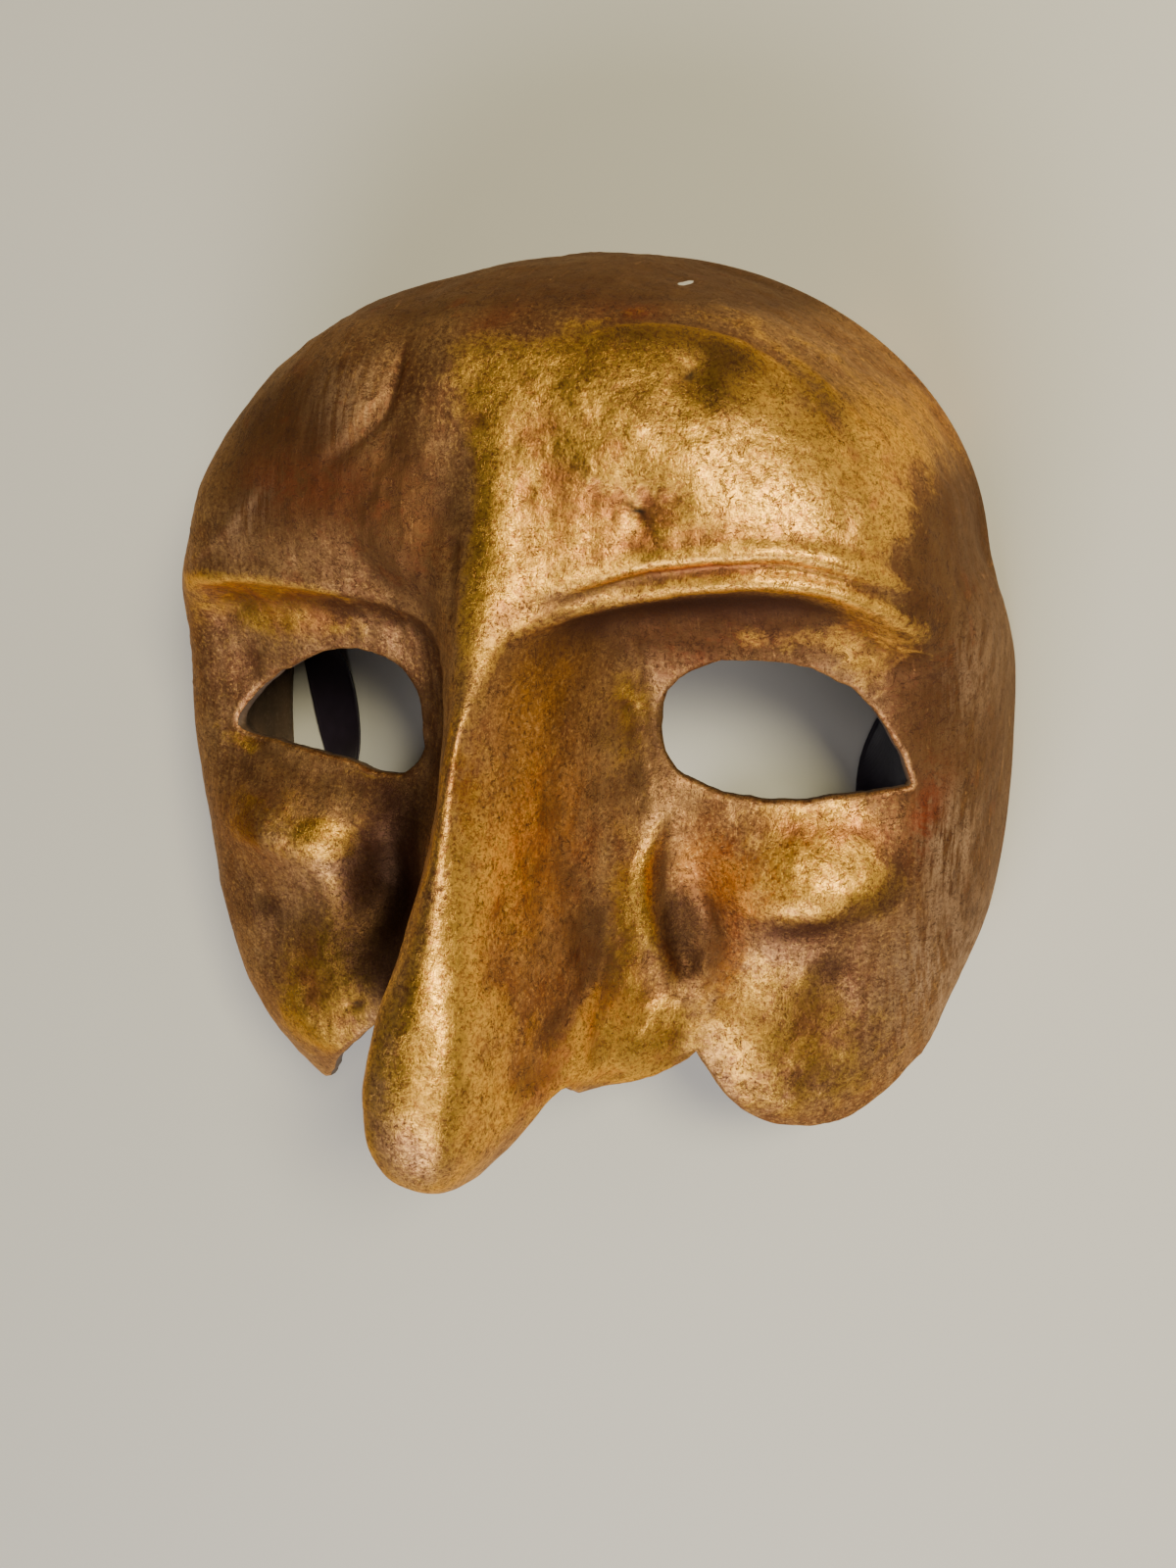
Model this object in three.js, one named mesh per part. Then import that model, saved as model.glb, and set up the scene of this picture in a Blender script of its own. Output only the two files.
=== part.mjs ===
// A Pantalone half mask of gilded papier-mâché, lying on its back, with its two ribbon ties.
// Millimetres. X runs to the viewer's right, Y from the nose tip up to the forehead,
// and Z out of the face. The cut rim lies on the plane Z = 0.
import * as THREE from 'three';

// Driving sizes

// papier-mâché wall, and how much thicker it is along the nose's ridge
const WALL = 2.6;
const THICKER_RIDGE = 1.2;
// middle of the mask's outline in the drawing below, which becomes the origin
const MIDDLE = { x: -2.4, y: -2.8 };
// drawing rows: the lowest one, below the nose tip, and the highest one, the rim of the forehead
const ROWS = { low: -84, high: 140 };
// mesh cells across the face and up the face
const CELLS = { across: 54, up: 42 };
// how much closer together the cells are at the nose and cheeks, and at the brow and nose tip
const DENSE = {
  across: { even: 0.6, bumps: [{ more: 1.6, at: 0.12, half: 0.09 }, { more: 0.5, at: 0.4, half: 0.25 }] },
  up: { even: 0.7, bumps: [{ more: 1.5, at: 20, half: 12 }, { more: 0.7, at: -62, half: 22 }] },
};
// satin ribbon ties; the end of each is wound into a coil that stands on its edge
const RIBBON = { width: 10, thick: 1.2, lift: 0.1, steps: 24 };
const COIL = { x: 30, y: -52, inner: 19, outer: 27.1, height: 10.2, sides: 36 };
// way of the ribbon on the viewer's right, from the inner wall of the temple, over the floor
// under the eye hole, to its coil: x, y, height above lying, and tilt from flat in degrees
const RIGHT_WAY = [
  [61.2, 27, 13, 90], [63.6, 21, 10, 90], [64.9, 15, 6.5, 85], [64.2, 9, 3, 70], [61, 3, 1, 45],
  [56.5, -3, 0.2, 18], [52.5, -9, 0, 0], [50, -16, 0, 0], [50, -23, 0, 15], [52, -30, 0, 45],
  [55.6, -37, 0, 78], [57.5, -43, 0, 90],
];
const LEFT_WAY = [
  [-62.6, 27, 13, 90], [-65.4, 21, 10, 90], [-67.4, 15, 6.5, 85], [-68.2, 9, 3, 70],
  [-68, 3, 1, 45], [-66.9, -3, 0.2, 18], [-65.8, -9, 0, 0], [-64.2, -16, 0, 0],
  [-62.4, -23, 0, 15], [-60.4, -30, 0, 45], [-58.6, -37, 0, 78], [-57.5, -43, 0, 90],
];

// A smooth profile through a few [place, size] knots, level beyond its ends.
function profile(knots) {
  const last = knots.length - 1;
  const slope = (i) => (knots[i + 1][1] - knots[i][1]) / (knots[i + 1][0] - knots[i][0]);
  const lean = knots.map((knot, i) => {
    if (i === 0) return slope(0);
    if (i === last) return slope(last - 1);
    const before = knot[0] - knots[i - 1][0];
    const after = knots[i + 1][0] - knot[0];
    return (slope(i - 1) * after + slope(i) * before) / (before + after);
  });
  return (place) => {
    const at = Math.min(Math.max(place, knots[0][0]), knots[last][0]);
    let i = 0;
    while (i < last - 1 && at > knots[i + 1][0]) i += 1;
    const span = knots[i + 1][0] - knots[i][0];
    const t = (at - knots[i][0]) / span;
    const s = 1 - t;
    return (1 + 2 * t) * s * s * knots[i][1] + t * s * s * span * lean[i]
      + t * t * (3 - 2 * t) * knots[i + 1][1] - t * t * s * span * lean[i + 1];
  };
}

// Profiles of the face along its rows; a row is named by its height on the middle line.

// height and depth of the plain face on the middle line, without the nose
const middleY = profile([
  [-95, -95], [45, 45], [60, 58.5], [70, 65.5], [82, 71], [96, 74], [115, 75.3], [140, 76],
]);
const middleZ = profile([
  [-95, 32], [-77, 45], [-56, 56], [-30, 58], [0, 61], [12, 66], [22, 73.5], [30, 77.2], [38, 78],
  [48, 77], [58, 74.3], [68, 69], [80, 58], [95, 43], [115, 25], [140, 0],
]);
// height at which a row meets the rim at the side
const rimY = profile([
  [-95, -95], [-45, -45], [-15, -17], [5, -4], [25, 4], [50, 10], [80, 15], [110, 19.5], [140, 23],
]);
// half width of the face, on the viewer's right and left
const halfRight = profile([
  [-95, 51], [-77, 60], [-66, 64], [-56, 67.5], [-43, 71], [-30, 72.8], [-15, 73.4], [0, 73.2],
  [25, 72.6], [60, 70.8], [80, 69.3], [110, 67.5], [140, 66],
]);
const halfLeft = profile([
  [-95, 56], [-80, 63], [-66, 69.5], [-56, 72.5], [-43, 75], [-30, 76.2], [-15, 76.8], [0, 76.3],
  [25, 74.6], [60, 71.5], [80, 70.5], [110, 69.7], [140, 69],
]);
// how square a row is: 2 is an ellipse, 4 has a flat front and flat sides
const squareness = profile([
  [-95, 3.6], [-50, 4], [-10, 4], [22, 4], [38, 3.5], [60, 2.6], [90, 2.1], [140, 1.95],
]);

// The hooked nose: its ridge in height and depth, and the lean of its tip to the left.
const ridgeY = profile([
  [-80, -68.5], [-76, -69.5], [-72, -69], [-68, -66.5], [-62, -61.5], [-54, -54], [-38, -38],
  [0, 0], [10, 9], [20, 19], [30, 30], [45, 45],
]);
const ridgeZ = profile([
  [-80, 89], [-76, 93], [-72, 98.5], [-68, 103.5], [-62, 107.3], [-54, 109], [-46, 108.5],
  [-38, 106.5], [-30, 104], [-20, 101], [-10, 98.5], [0, 95.5], [10, 91.5], [20, 86], [30, 81.5],
  [45, 78],
]);
const tipLean = profile([[-50, -2.4], [-15, 0]]);
// half width of the nose where it leaves the cheek, of its flat bridge, and of its ball
const noseFoot = profile([[-55, 28], [-35, 25], [-15, 21], [5, 18], [22, 20], [34, 32], [45, 42]]);
const bridgeFlat = profile([[-25, 3], [-10, 1.5], [5, 2.2], [22, 5], [45, 9]]);
const ballHalf = profile([
  [-80, 3], [-74, 5], [-70, 6.8], [-66, 9], [-60, 11.6], [-52, 12.4], [-43, 11.7], [-32, 9.7],
  [-20, 8], [-10, 7], [22, 5],
]);

// Lower edge: under each lobe by distance from the middle, and under the nose by depth.
const lobeRight = profile([
  [24, -54], [27, -56], [30, -57.5], [32, -61], [35, -66], [39, -70.5], [47, -73], [53, -72.3],
  [60, -67], [70, -58],
]);
const lobeLeft = profile([
  [24, -54], [27, -56], [31, -60.5], [36, -65.5], [42, -71.2], [47, -77.4], [51, -82.5], [55, -87.5],
  [62, -92],
]);
const underNose = profile([
  [45, -52], [52, -55], [56, -60], [60, -63], [64, -64], [70, -61.5], [76, -58.5], [80, -59.5],
  [84, -63], [88, -68], [92, -73], [120, -80],
]);
// depth of the side's cut edge, by height
const sideCut = profile([[-90, 41], [-80, 34], [-70, 30], [-60, 22], [-50, 9], [-42, 0], [-36, -6]]);
const LOBE_FROM = [27, 30];
// how round the corner of each lobe is
const LOBE_CORNER = { left: 1.5, right: 8 };

// Points along a smooth curve through hand-placed [x, y] points.
function smoothLine(points, steps, closed) {
  const through = points.map(([x, y]) => new THREE.Vector3(x, y, 0));
  return new THREE.CatmullRomCurve3(through, closed, 'catmullrom', 0.5).getPoints(steps);
}

// Crest of each brow, from the temple to the bridge of the nose, by distance from the middle,
// and the ridges that follow it on the outside: height, distance above the crest, half width,
// and where along the crest they start and end.
const BROWS = [
  {
    side: 1,
    crest: smoothLine([
      [78, 12], [68, 16], [62, 20.5], [55, 24.5], [44, 27.2], [30, 26], [18, 23.5], [9, 22],
      [4.5, 20], [2.6, 14], [1.2, 6], [0.3, -3],
    ], 88, false),
    ridges: [
      { height: 1.7, above: 0, half: 1.9, start: [0.06, 0.25], end: [1, 0.88] },
      { height: 1.4, above: 4.4, half: 1.6, start: [0.1, 0.25], end: [0.68, 0.55] },
    ],
  },
  {
    side: -1,
    crest: smoothLine([
      [78, 9], [70, 14], [62, 19], [54, 21.3], [43, 21.9], [30, 21.3], [22, 20.3], [15, 18],
      [10, 14], [7, 7], [5, -3],
    ], 80, false),
    ridges: [{ height: 1.4, above: 0, half: 2, start: [0.08, 0.3], end: [0.85, 0.65] }],
  },
];
// the two eye holes, seen from the front, by distance from the middle
const EYE_RIGHT = smoothLine([
  [21.8, -3], [22.3, 4], [25.5, 8.3], [33, 11.6], [43, 11.5], [51, 8.6], [57, 2], [61.8, -7.5],
  [60.5, -9.2], [54, -10.2], [44, -11.6], [35, -11.7], [27, -9.8], [23.3, -7],
], 112, true);
const EYE_LEFT = smoothLine([
  [22.3, -5], [22.8, 0], [25, 4.8], [29.5, 7.6], [35, 8], [42, 6.2], [50, 2.3], [57, -2.5],
  [61.5, -8.8], [57, -10.6], [50, -10.9], [38, -12.4], [30, -13.9], [25.5, -13.2], [22.8, -9.6],
], 120, true);

// The sunken ground below a brow's crest, which fades out towards these limits.
const SOCKET = { depth: 5, blend: 9, low: [-30, -8], side: [72, 56], nose: [3, 14] };
// Swellings and hollows: height, centre x and y, half width, half height, turn in degrees.
const ON_BOTH_SIDES = {
  cheekbone: [4.8, 50, -25, 12, 9, 12],
  hollowCheek: [-3, 52, -46, 12, 14, 0],
  pitBesideNose: [-5.5, 29, -34, 6, 12, 13],
  nostril: [4.5, 20, -55, 6, 8, 0],
  lobe: [2, 42, -66, 16, 8, 0],
  temple: [-2, 69, 29, 7, 8, 0],
};
const UNEVEN = {
  groove: [-1.8, -19, 54, 4, 14, 4],
  lump: [1.6, -28, 51, 6, 10, 12],
  rightDent: [-1.3, 22, 37, 7, 4, 0],
  smallPit: [-1, 28, 57, 4, 4, 0],
  furrow: [-2.6, -10, 30, 5, 14, -8],
  keel: [1.4, 0, 36, 5, 14, 0],
  leftTemple: [2, -72, -6, 10, 22, 0],
};
// torn edge of the last paper layer, an arch high on the forehead
const LAYER = { step: 1, top: 66.5, middle: 22, bend: 0.0175, half: 1, from: [8, 16], to: [58, 46] };
// the relief runs out to nothing at the rim
const RIM_BLEND = 10;

const clamp = (value, low, high) => Math.min(Math.max(value, low), high);

function smooth(from, to, value) {
  const t = clamp((value - from) / (to - from), 0, 1);
  return t * t * (3 - 2 * t);
}

// A round or oval swelling or hollow, its long axis turned by some degrees.
function swelling(x, y, [height, centreX, centreY, radiusX, radiusY, turn]) {
  const angle = THREE.MathUtils.degToRad(turn);
  const along = (x - centreX) * Math.cos(angle) + (y - centreY) * Math.sin(angle);
  const aside = (y - centreY) * Math.cos(angle) - (x - centreX) * Math.sin(angle);
  return height * Math.exp(-((along / radiusX) ** 2) - (aside / radiusY) ** 2);
}

// Distance to a line, positive on its right-hand side, and how far along the nearest point is.
function fromLine(x, y, line) {
  let nearest = Infinity;
  let side = 1;
  let along = 0;
  for (let i = 0; i + 1 < line.length; i += 1) {
    const a = line[i];
    const dx = line[i + 1].x - a.x;
    const dy = line[i + 1].y - a.y;
    const t = clamp(((x - a.x) * dx + (y - a.y) * dy) / (dx * dx + dy * dy), 0, 1);
    const distance = Math.hypot(x - a.x - t * dx, y - a.y - t * dy);
    if (distance < nearest) {
      nearest = distance;
      side = dx * (y - a.y) - dy * (x - a.x) < 0 ? 1 : -1;
      along = (i + t) / (line.length - 1);
    }
  }
  return { distance: nearest * side, along };
}

// Distance to a closed outline, positive outside it.
function outside(x, y, outline) {
  let inside = false;
  for (let i = 0; i + 1 < outline.length; i += 1) {
    const a = outline[i];
    const b = outline[i + 1];
    if (a.y > y !== b.y > y && x < a.x + ((b.x - a.x) * (y - a.y)) / (b.y - a.y)) inside = !inside;
  }
  const distance = Math.abs(fromLine(x, y, outline).distance);
  return inside ? -distance : distance;
}

// The plain face, without nose or carving. Across runs from -1 to 1, and inset goes into the wall.
function plainFace(across, row, inset) {
  const angle = (across * Math.PI) / 2;
  const sine = Math.sin(angle);
  const cosine = Math.max(Math.cos(angle), 0);
  const power = squareness(row);
  const reach = (Math.abs(sine) ** power + cosine ** power) ** (-1 / power);
  const step = 0.5;
  const climb = middleY(row + step) - middleY(row - step);
  const rise = middleZ(row + step) - middleZ(row - step);
  const length = Math.hypot(climb, rise) || 1;
  const top = middleY(row) + (inset * rise) / length;
  const front = middleZ(row) - (inset * climb) / length;
  const half = (across < 0 ? halfLeft(row) : halfRight(row)) - inset;
  return new THREE.Vector3(
    half * reach * sine,
    top - (top - rimY(row)) * (1 - reach * cosine),
    Math.max(front, 0) * reach * cosine,
  );
}

function plainNormal(across, row) {
  const u = clamp(across, -0.985, 0.985);
  const sideways = plainFace(u + 0.001, row, 0).sub(plainFace(u - 0.001, row, 0));
  const upward = plainFace(u, row + 0.05, 0).sub(plainFace(u, row - 0.05, 0));
  return sideways.cross(upward).normalize();
}

// Share of the nose's height at a distance from the middle: a flat bridge with straight sides
// above, which turns into a ball with a low skirt for the nostrils below.
function noseShare(distance, row) {
  const foot = distance / noseFoot(row);
  const flat = bridgeFlat(row) / noseFoot(row);
  const fall = (Math.sqrt(foot * foot + flat * flat) - flat) / (Math.sqrt(1 + flat * flat) - flat);
  let bridge = 1 - fall;
  bridge = 0.5 * (bridge + Math.sqrt(bridge * bridge + 0.014));
  bridge -= 0.1 * Math.sin(Math.PI * clamp(fall, 0, 1)) * (1 - smooth(15, 30, row));
  bridge *= 1 - smooth(1.1, 1.9, foot);
  const round = distance / ballHalf(row);
  let ball = (1 - 0.14 * Math.min(round, 2.5) ** 2) / (1 + round ** 8);
  ball = Math.max(ball, 0) * (1 - smooth(0.6, 1, foot));
  const skirt = 0.16 * (1 - smooth(0.3, 1, foot));
  ball = ball * (1 - skirt) + skirt;
  const low = smooth(-5, -42, row);
  return (bridge * (1 - low) + ball * low) * smooth(47, 24, row);
}

// Carving broad enough to show on the inside as well.
function broadCarving(x, y) {
  let height = 0;
  for (const { side, crest } of BROWS) {
    const out = side * x;
    const below = -fromLine(out, y, crest).distance;
    height -= SOCKET.depth * smooth(0, SOCKET.blend, below) * smooth(...SOCKET.low, y)
      * smooth(...SOCKET.side, out) * smooth(...SOCKET.nose, out);
  }
  for (const form of Object.values(ON_BOTH_SIDES)) height += swelling(Math.abs(x), y, form);
  for (const form of Object.values(UNEVEN)) height += swelling(x, y, form);
  return height;
}

// A rounded ridge that follows the crest at a distance.
function ridgeAlongCrest({ distance, along }, { height, above, half, start, end }) {
  const across = (distance - above) / half;
  return height * Math.exp(-across * across) * smooth(...start, along) * smooth(...end, along);
}

// Fine relief on the outside only: the ridges along the crests and the edge of the last layer.
function fineCarving(x, y) {
  const arch = LAYER.top - LAYER.bend * (x - LAYER.middle) ** 2;
  const layer = smooth(-LAYER.half, LAYER.half, y - arch) * smooth(...LAYER.from, x)
    * smooth(...LAYER.to, x);
  let height = -LAYER.step * layer;
  for (const { side, crest, ridges } of BROWS) {
    const place = fromLine(side * x, y, crest);
    for (const ridge of ridges) height += ridgeAlongCrest(place, ridge);
  }
  return height;
}

// How far the nose's side leans, from 0 on the flat to 1 on an upright side.
function noseSteepness(distance, row, height) {
  const reach = 1.5;
  const inner = Math.max(distance - reach, 0);
  const drop = height * (noseShare(inner, row) - noseShare(distance + reach, row));
  const slope = drop / (distance + reach - inner);
  return slope / Math.hypot(1, slope);
}

// A point of the shell, on its outer face or, with an inset, on its inner one.
function shellPoint(across, row, inset) {
  const outer = plainFace(across, row, 0);
  const point = plainFace(across, row, inset);
  const distance = Math.abs(outer.x);
  const share = noseShare(distance, row);
  const step = 1.5;
  const climb = ridgeY(row + step) - ridgeY(row - step);
  const rise = ridgeZ(row + step) - ridgeZ(row - step);
  const ridgeWall = (inset * THICKER_RIDGE) / (Math.hypot(climb, rise) || 1);
  const ridge = {
    y: ridgeY(row) + ridgeWall * rise,
    z: ridgeZ(row) - ridgeWall * climb,
  };
  const middle = plainFace(0, row, inset);
  const height = ridge.z - middle.z;
  const carving = broadCarving(outer.x, outer.y) + (inset ? 0 : fineCarving(outer.x, outer.y));
  const relief = carving * smooth(0, RIM_BLEND, outer.z);
  point.addScaledVector(plainNormal(across, row), relief);
  if (inset && share > 0) {
    const pull = Math.min(inset * noseSteepness(distance, row, height), 0.6 * distance);
    point.x -= Math.sign(outer.x) * pull;
  }
  point.x += tipLean(row) * share;
  point.y += (ridge.y - middle.y) * share;
  point.z += height * share;
  return point;
}

// Positive on the mask's paper, negative in the eye holes and past the cut edges.
function onPaper(across, row) {
  const { x, y, z } = shellPoint(across, row, 0);
  const a = Math.abs(x);
  const eye = outside(a, y, x < 0 ? EYE_LEFT : EYE_RIGHT);
  const side = z - sideCut(y);
  const inLobe = smooth(LOBE_FROM[0], LOBE_FROM[1], a);
  const lobe = x < 0 ? lobeLeft(a) : lobeRight(a);
  const under = y - (lobe * inLobe + underNose(z) * (1 - inLobe));
  const corner = x < 0 ? LOBE_CORNER.left : LOBE_CORNER.right;
  const mix = clamp(0.5 + (0.5 * (under - side)) / corner, 0, 1);
  const edge = under * (1 - mix) + side * mix - corner * mix * (1 - mix);
  return Math.min(eye, edge);
}

// Places between two ends, closer together where the density is higher.
function places(count, low, high, density) {
  const fine = 400;
  const sums = [0];
  for (let i = 0; i < fine; i += 1) {
    sums.push(sums[i] + density(low + ((high - low) * (i + 0.5)) / fine));
  }
  const found = [];
  for (let k = 0, i = 0; k <= count; k += 1) {
    const want = (sums[fine] * k) / count;
    while (i < fine - 1 && sums[i + 1] < want) i += 1;
    found.push(low + ((high - low) * (i + (want - sums[i]) / (sums[i + 1] - sums[i]))) / fine);
  }
  return found;
}

// The point where the paper ends on a line between two grid points, and its share of the line.
function edgeBetween(inner, outer) {
  let low = 0;
  let high = 1;
  const at = (t) => ({ u: inner.u + (outer.u - inner.u) * t, b: inner.b + (outer.b - inner.b) * t });
  for (let i = 0; i < 14; i += 1) {
    const t = (low + high) / 2;
    const { u, b } = at(t);
    if (onPaper(u, b) > 0) low = t;
    else high = t;
  }
  return { ...at(low), t: low };
}

// Grid of the whole drawing, with points close to a cut edge moved onto it.
function faceGrid() {
  const { across, up } = CELLS;
  const bump = (place, { more, at, half }) => more * Math.exp(-(((place - at) / half) ** 2));
  const density = ({ even, bumps }) => (place) => bumps.reduce((sum, b) => sum + bump(place, b), even);
  const denseAcross = density(DENSE.across);
  const columns = places(across, -1, 1, (u) => denseAcross(Math.abs(u)));
  const rows = places(up, ROWS.low, ROWS.high, density(DENSE.up));
  const grid = rows.map((b) => columns.map((u) => ({ u, b, paper: onPaper(u, b) })));
  const near = 0.3;
  const moves = [];
  for (let j = 0; j <= up; j += 1) {
    for (let i = 0; i <= across; i += 1) {
      const own = grid[j][i];
      let best = { t: near };
      for (const [di, dj] of [[1, 0], [-1, 0], [0, 1], [0, -1]]) {
        const other = grid[j + dj]?.[i + di];
        if (!other || other.paper > 0 === own.paper > 0) continue;
        const cut = own.paper > 0 ? edgeBetween(own, other) : edgeBetween(other, own);
        const t = own.paper > 0 ? cut.t : 1 - cut.t;
        if (t < best.t) best = { t, cut };
      }
      if (best.cut) moves.push([own, best.cut]);
    }
  }
  for (const [own, cut] of moves) {
    own.u = cut.u;
    own.b = cut.b;
    own.paper = 0;
  }
  return grid;
}

// The closed shell: outer face, inner face, and the thickness along every cut edge.
function shellGeometry() {
  const grid = faceGrid();
  const points = [];
  const numbers = new Map();
  const numberOf = (key, u, b) => {
    if (!numbers.has(key)) {
      numbers.set(key, points.length);
      points.push({ u, b });
    }
    return numbers.get(key);
  };
  const faces = [];
  const addTriangle = (corners) => {
    if (corners.every(({ paper }) => paper <= 0)) return;
    const kept = [];
    for (let i = 0; i < 3; i += 1) {
      const a = corners[i];
      const b = corners[(i + 1) % 3];
      if (a.paper >= 0) kept.push(numberOf(a.key, a.u, a.b));
      if (a.paper * b.paper < 0) {
        const cut = a.paper > 0 ? edgeBetween(a, b) : edgeBetween(b, a);
        const key = a.key < b.key ? `${a.key}|${b.key}` : `${b.key}|${a.key}`;
        kept.push(numberOf(key, cut.u, cut.b));
      }
    }
    for (let i = 1; i + 1 < kept.length; i += 1) faces.push([kept[0], kept[i], kept[i + 1]]);
  };
  for (let j = 0; j < CELLS.up; j += 1) {
    for (let i = 0; i < CELLS.across; i += 1) {
      const corner = (di, dj) => ({ ...grid[j + dj][i + di], key: `${i + di},${j + dj}` });
      const [a, b, c, d] = [corner(0, 0), corner(1, 0), corner(1, 1), corner(0, 1)];
      // the diagonal leans outward on both halves of the face
      if (i < CELLS.across / 2) {
        addTriangle([a, b, d]);
        addTriangle([b, c, d]);
      } else {
        addTriangle([a, b, c]);
        addTriangle([a, c, d]);
      }
    }
  }
  const count = points.length;
  const triangles = faces.flatMap(([a, b, c]) => [[a, b, c], [c + count, b + count, a + count]]);
  const used = new Set(faces.flatMap(([a, b, c]) => [`${a},${b}`, `${b},${c}`, `${c},${a}`]));
  for (const edge of used) {
    const [a, b] = edge.split(',').map(Number);
    if (!used.has(`${b},${a}`)) triangles.push([b, a, a + count], [b, a + count, b + count]);
  }
  const vertices = [0, WALL].flatMap((inset) => points.map(({ u, b }) => shellPoint(u, b, inset)));
  const geometry = new THREE.BufferGeometry().setFromPoints(vertices);
  geometry.setIndex(triangles.flat());
  geometry.translate(-MIDDLE.x, -MIDDLE.y, 0);
  geometry.computeVertexNormals();
  return geometry;
}

// The middle line of a ribbon that lies flat, stands on its edge, or turns between the two.
class RibbonWay extends THREE.Curve {
  constructor(knots, side) {
    super();
    this.side = side;
    this.plan = new THREE.CatmullRomCurve3(knots.map(([x, y, lift]) => new THREE.Vector3(x, y, lift)));
    this.tilts = knots.map((knot) => THREE.MathUtils.degToRad(knot[3]));
  }

  tiltAt(t) {
    const at = clamp(t, 0, 1) * (this.tilts.length - 1);
    const i = Math.min(Math.floor(at), this.tilts.length - 2);
    return THREE.MathUtils.lerp(this.tilts[i], this.tilts[i + 1], at - i);
  }

  getPoint(t, target = new THREE.Vector3()) {
    const tilt = this.tiltAt(t);
    this.plan.getPoint(clamp(t, 0, 1), target);
    target.z += (RIBBON.width / 2) * Math.sin(tilt) + (RIBBON.thick / 2) * Math.cos(tilt) + RIBBON.lift;
    return target;
  }

  // normals point across the ribbon's width, binormals through its thickness
  computeFrenetFrames(segments) {
    const frames = { tangents: [], normals: [], binormals: [] };
    for (let i = 0; i <= segments; i += 1) {
      const at = i / segments;
      const tangent = this.getTangentAt(at);
      const tilt = this.tiltAt(this.getUtoTmapping(at));
      const across = new THREE.Vector3(-tangent.y, tangent.x, 0).normalize();
      const width = across.multiplyScalar(this.side * Math.cos(tilt));
      width.z += Math.sin(tilt);
      width.addScaledVector(tangent, -width.dot(tangent)).normalize();
      frames.tangents.push(tangent);
      frames.normals.push(width);
      frames.binormals.push(new THREE.Vector3().crossVectors(tangent, width));
    }
    return frames;
  }
}

// Flat section with rounded edges.
function ribbonSection() {
  const half = RIBBON.width / 2;
  const thin = RIBBON.thick / 2;
  const round = thin * 0.6;
  return new THREE.Shape([
    [half, -thin + round], [half, thin - round], [half - round, thin], [-half + round, thin],
    [-half, thin - round], [-half, -thin + round], [-half + round, -thin], [half - round, -thin],
  ].map(([x, y]) => new THREE.Vector2(x, y)));
}

function ribbonGeometry(knots, side) {
  const geometry = new THREE.ExtrudeGeometry(ribbonSection(), {
    steps: RIBBON.steps,
    extrudePath: new RibbonWay(knots, side),
  });
  return geometry.translate(-MIDDLE.x, -MIDDLE.y, 0);
}

// The outer shape of a coil: an upright ring.
function coilGeometry(side) {
  const { inner, outer, height } = COIL;
  const section = [[inner, 0], [outer, 0], [outer, height], [inner, height], [inner, 0]];
  const geometry = new THREE.LatheGeometry(section.map(([r, z]) => new THREE.Vector2(r, z)), COIL.sides);
  geometry.rotateX(Math.PI / 2);
  return geometry.translate(side * COIL.x - MIDDLE.x, COIL.y - MIDDLE.y, 0);
}

// Finishes
const gilding = new THREE.MeshStandardMaterial({ color: 0x9a6b2c, roughness: 0.42, metalness: 0.75 });
const satin = new THREE.MeshStandardMaterial({ color: 0x17121c, roughness: 0.45, metalness: 0 });

const mask = new THREE.Group();

const shell = new THREE.Mesh(shellGeometry(), gilding);
shell.name = 'mask_shell';
mask.add(shell);

for (const [name, side, way] of [['left', 1, LEFT_WAY], ['right', -1, RIGHT_WAY]]) {
  const ribbon = new THREE.Mesh(ribbonGeometry(way, side), satin);
  ribbon.name = `${name}_ribbon`;
  const coil = new THREE.Mesh(coilGeometry(-side), satin);
  coil.name = `${name}_ribbon_coil`;
  mask.add(ribbon, coil);
}

export default mask;
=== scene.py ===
"""Looks of a gilded Pantalone half mask of papier-mâché, lying on its back, with its two ribbon ties.

The surface is worked out in millimetres in the part's own drawing: X to the viewer's right, Y up the
face, Z out of it. It is the same surface as the solid's, with a finer mesh and finer relief.
"""
import math

import bpy
import numpy as np
from mathutils import Matrix, Vector, noise


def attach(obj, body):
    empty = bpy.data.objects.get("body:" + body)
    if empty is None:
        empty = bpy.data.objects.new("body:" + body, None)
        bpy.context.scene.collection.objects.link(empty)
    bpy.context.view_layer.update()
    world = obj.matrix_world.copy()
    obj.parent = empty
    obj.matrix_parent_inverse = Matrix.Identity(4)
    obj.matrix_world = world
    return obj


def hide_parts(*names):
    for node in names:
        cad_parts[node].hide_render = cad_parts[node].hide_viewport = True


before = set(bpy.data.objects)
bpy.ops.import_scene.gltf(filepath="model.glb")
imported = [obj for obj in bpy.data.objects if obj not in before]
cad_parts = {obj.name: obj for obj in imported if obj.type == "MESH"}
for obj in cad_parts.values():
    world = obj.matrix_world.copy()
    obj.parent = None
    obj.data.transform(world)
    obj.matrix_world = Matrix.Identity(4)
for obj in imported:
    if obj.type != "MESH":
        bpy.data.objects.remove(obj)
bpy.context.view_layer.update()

# Driving sizes in millimetres, as in the part's source

MM = 0.001
MIDDLE = np.array([-2.4, -2.8, 0.0])
WALL = 2.6
THICKER_RIDGE = 1.2
ROWS = (-84, 140)
CELLS_ACROSS = 250
CELLS_UP = 206
DENSE_ACROSS = (0.7, [(1.2, 0.12, 0.1), (0.5, 0.4, 0.25)])
DENSE_UP = (0.7, [(1.1, 20, 14), (0.6, -62, 22)])
# rounding of the cut edges, the strips that it has, and how much the cut wavers
EDGE_ROUND = 0.9
EDGE_STRIPS = 5
EDGE_WAVER = 0.35

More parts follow.
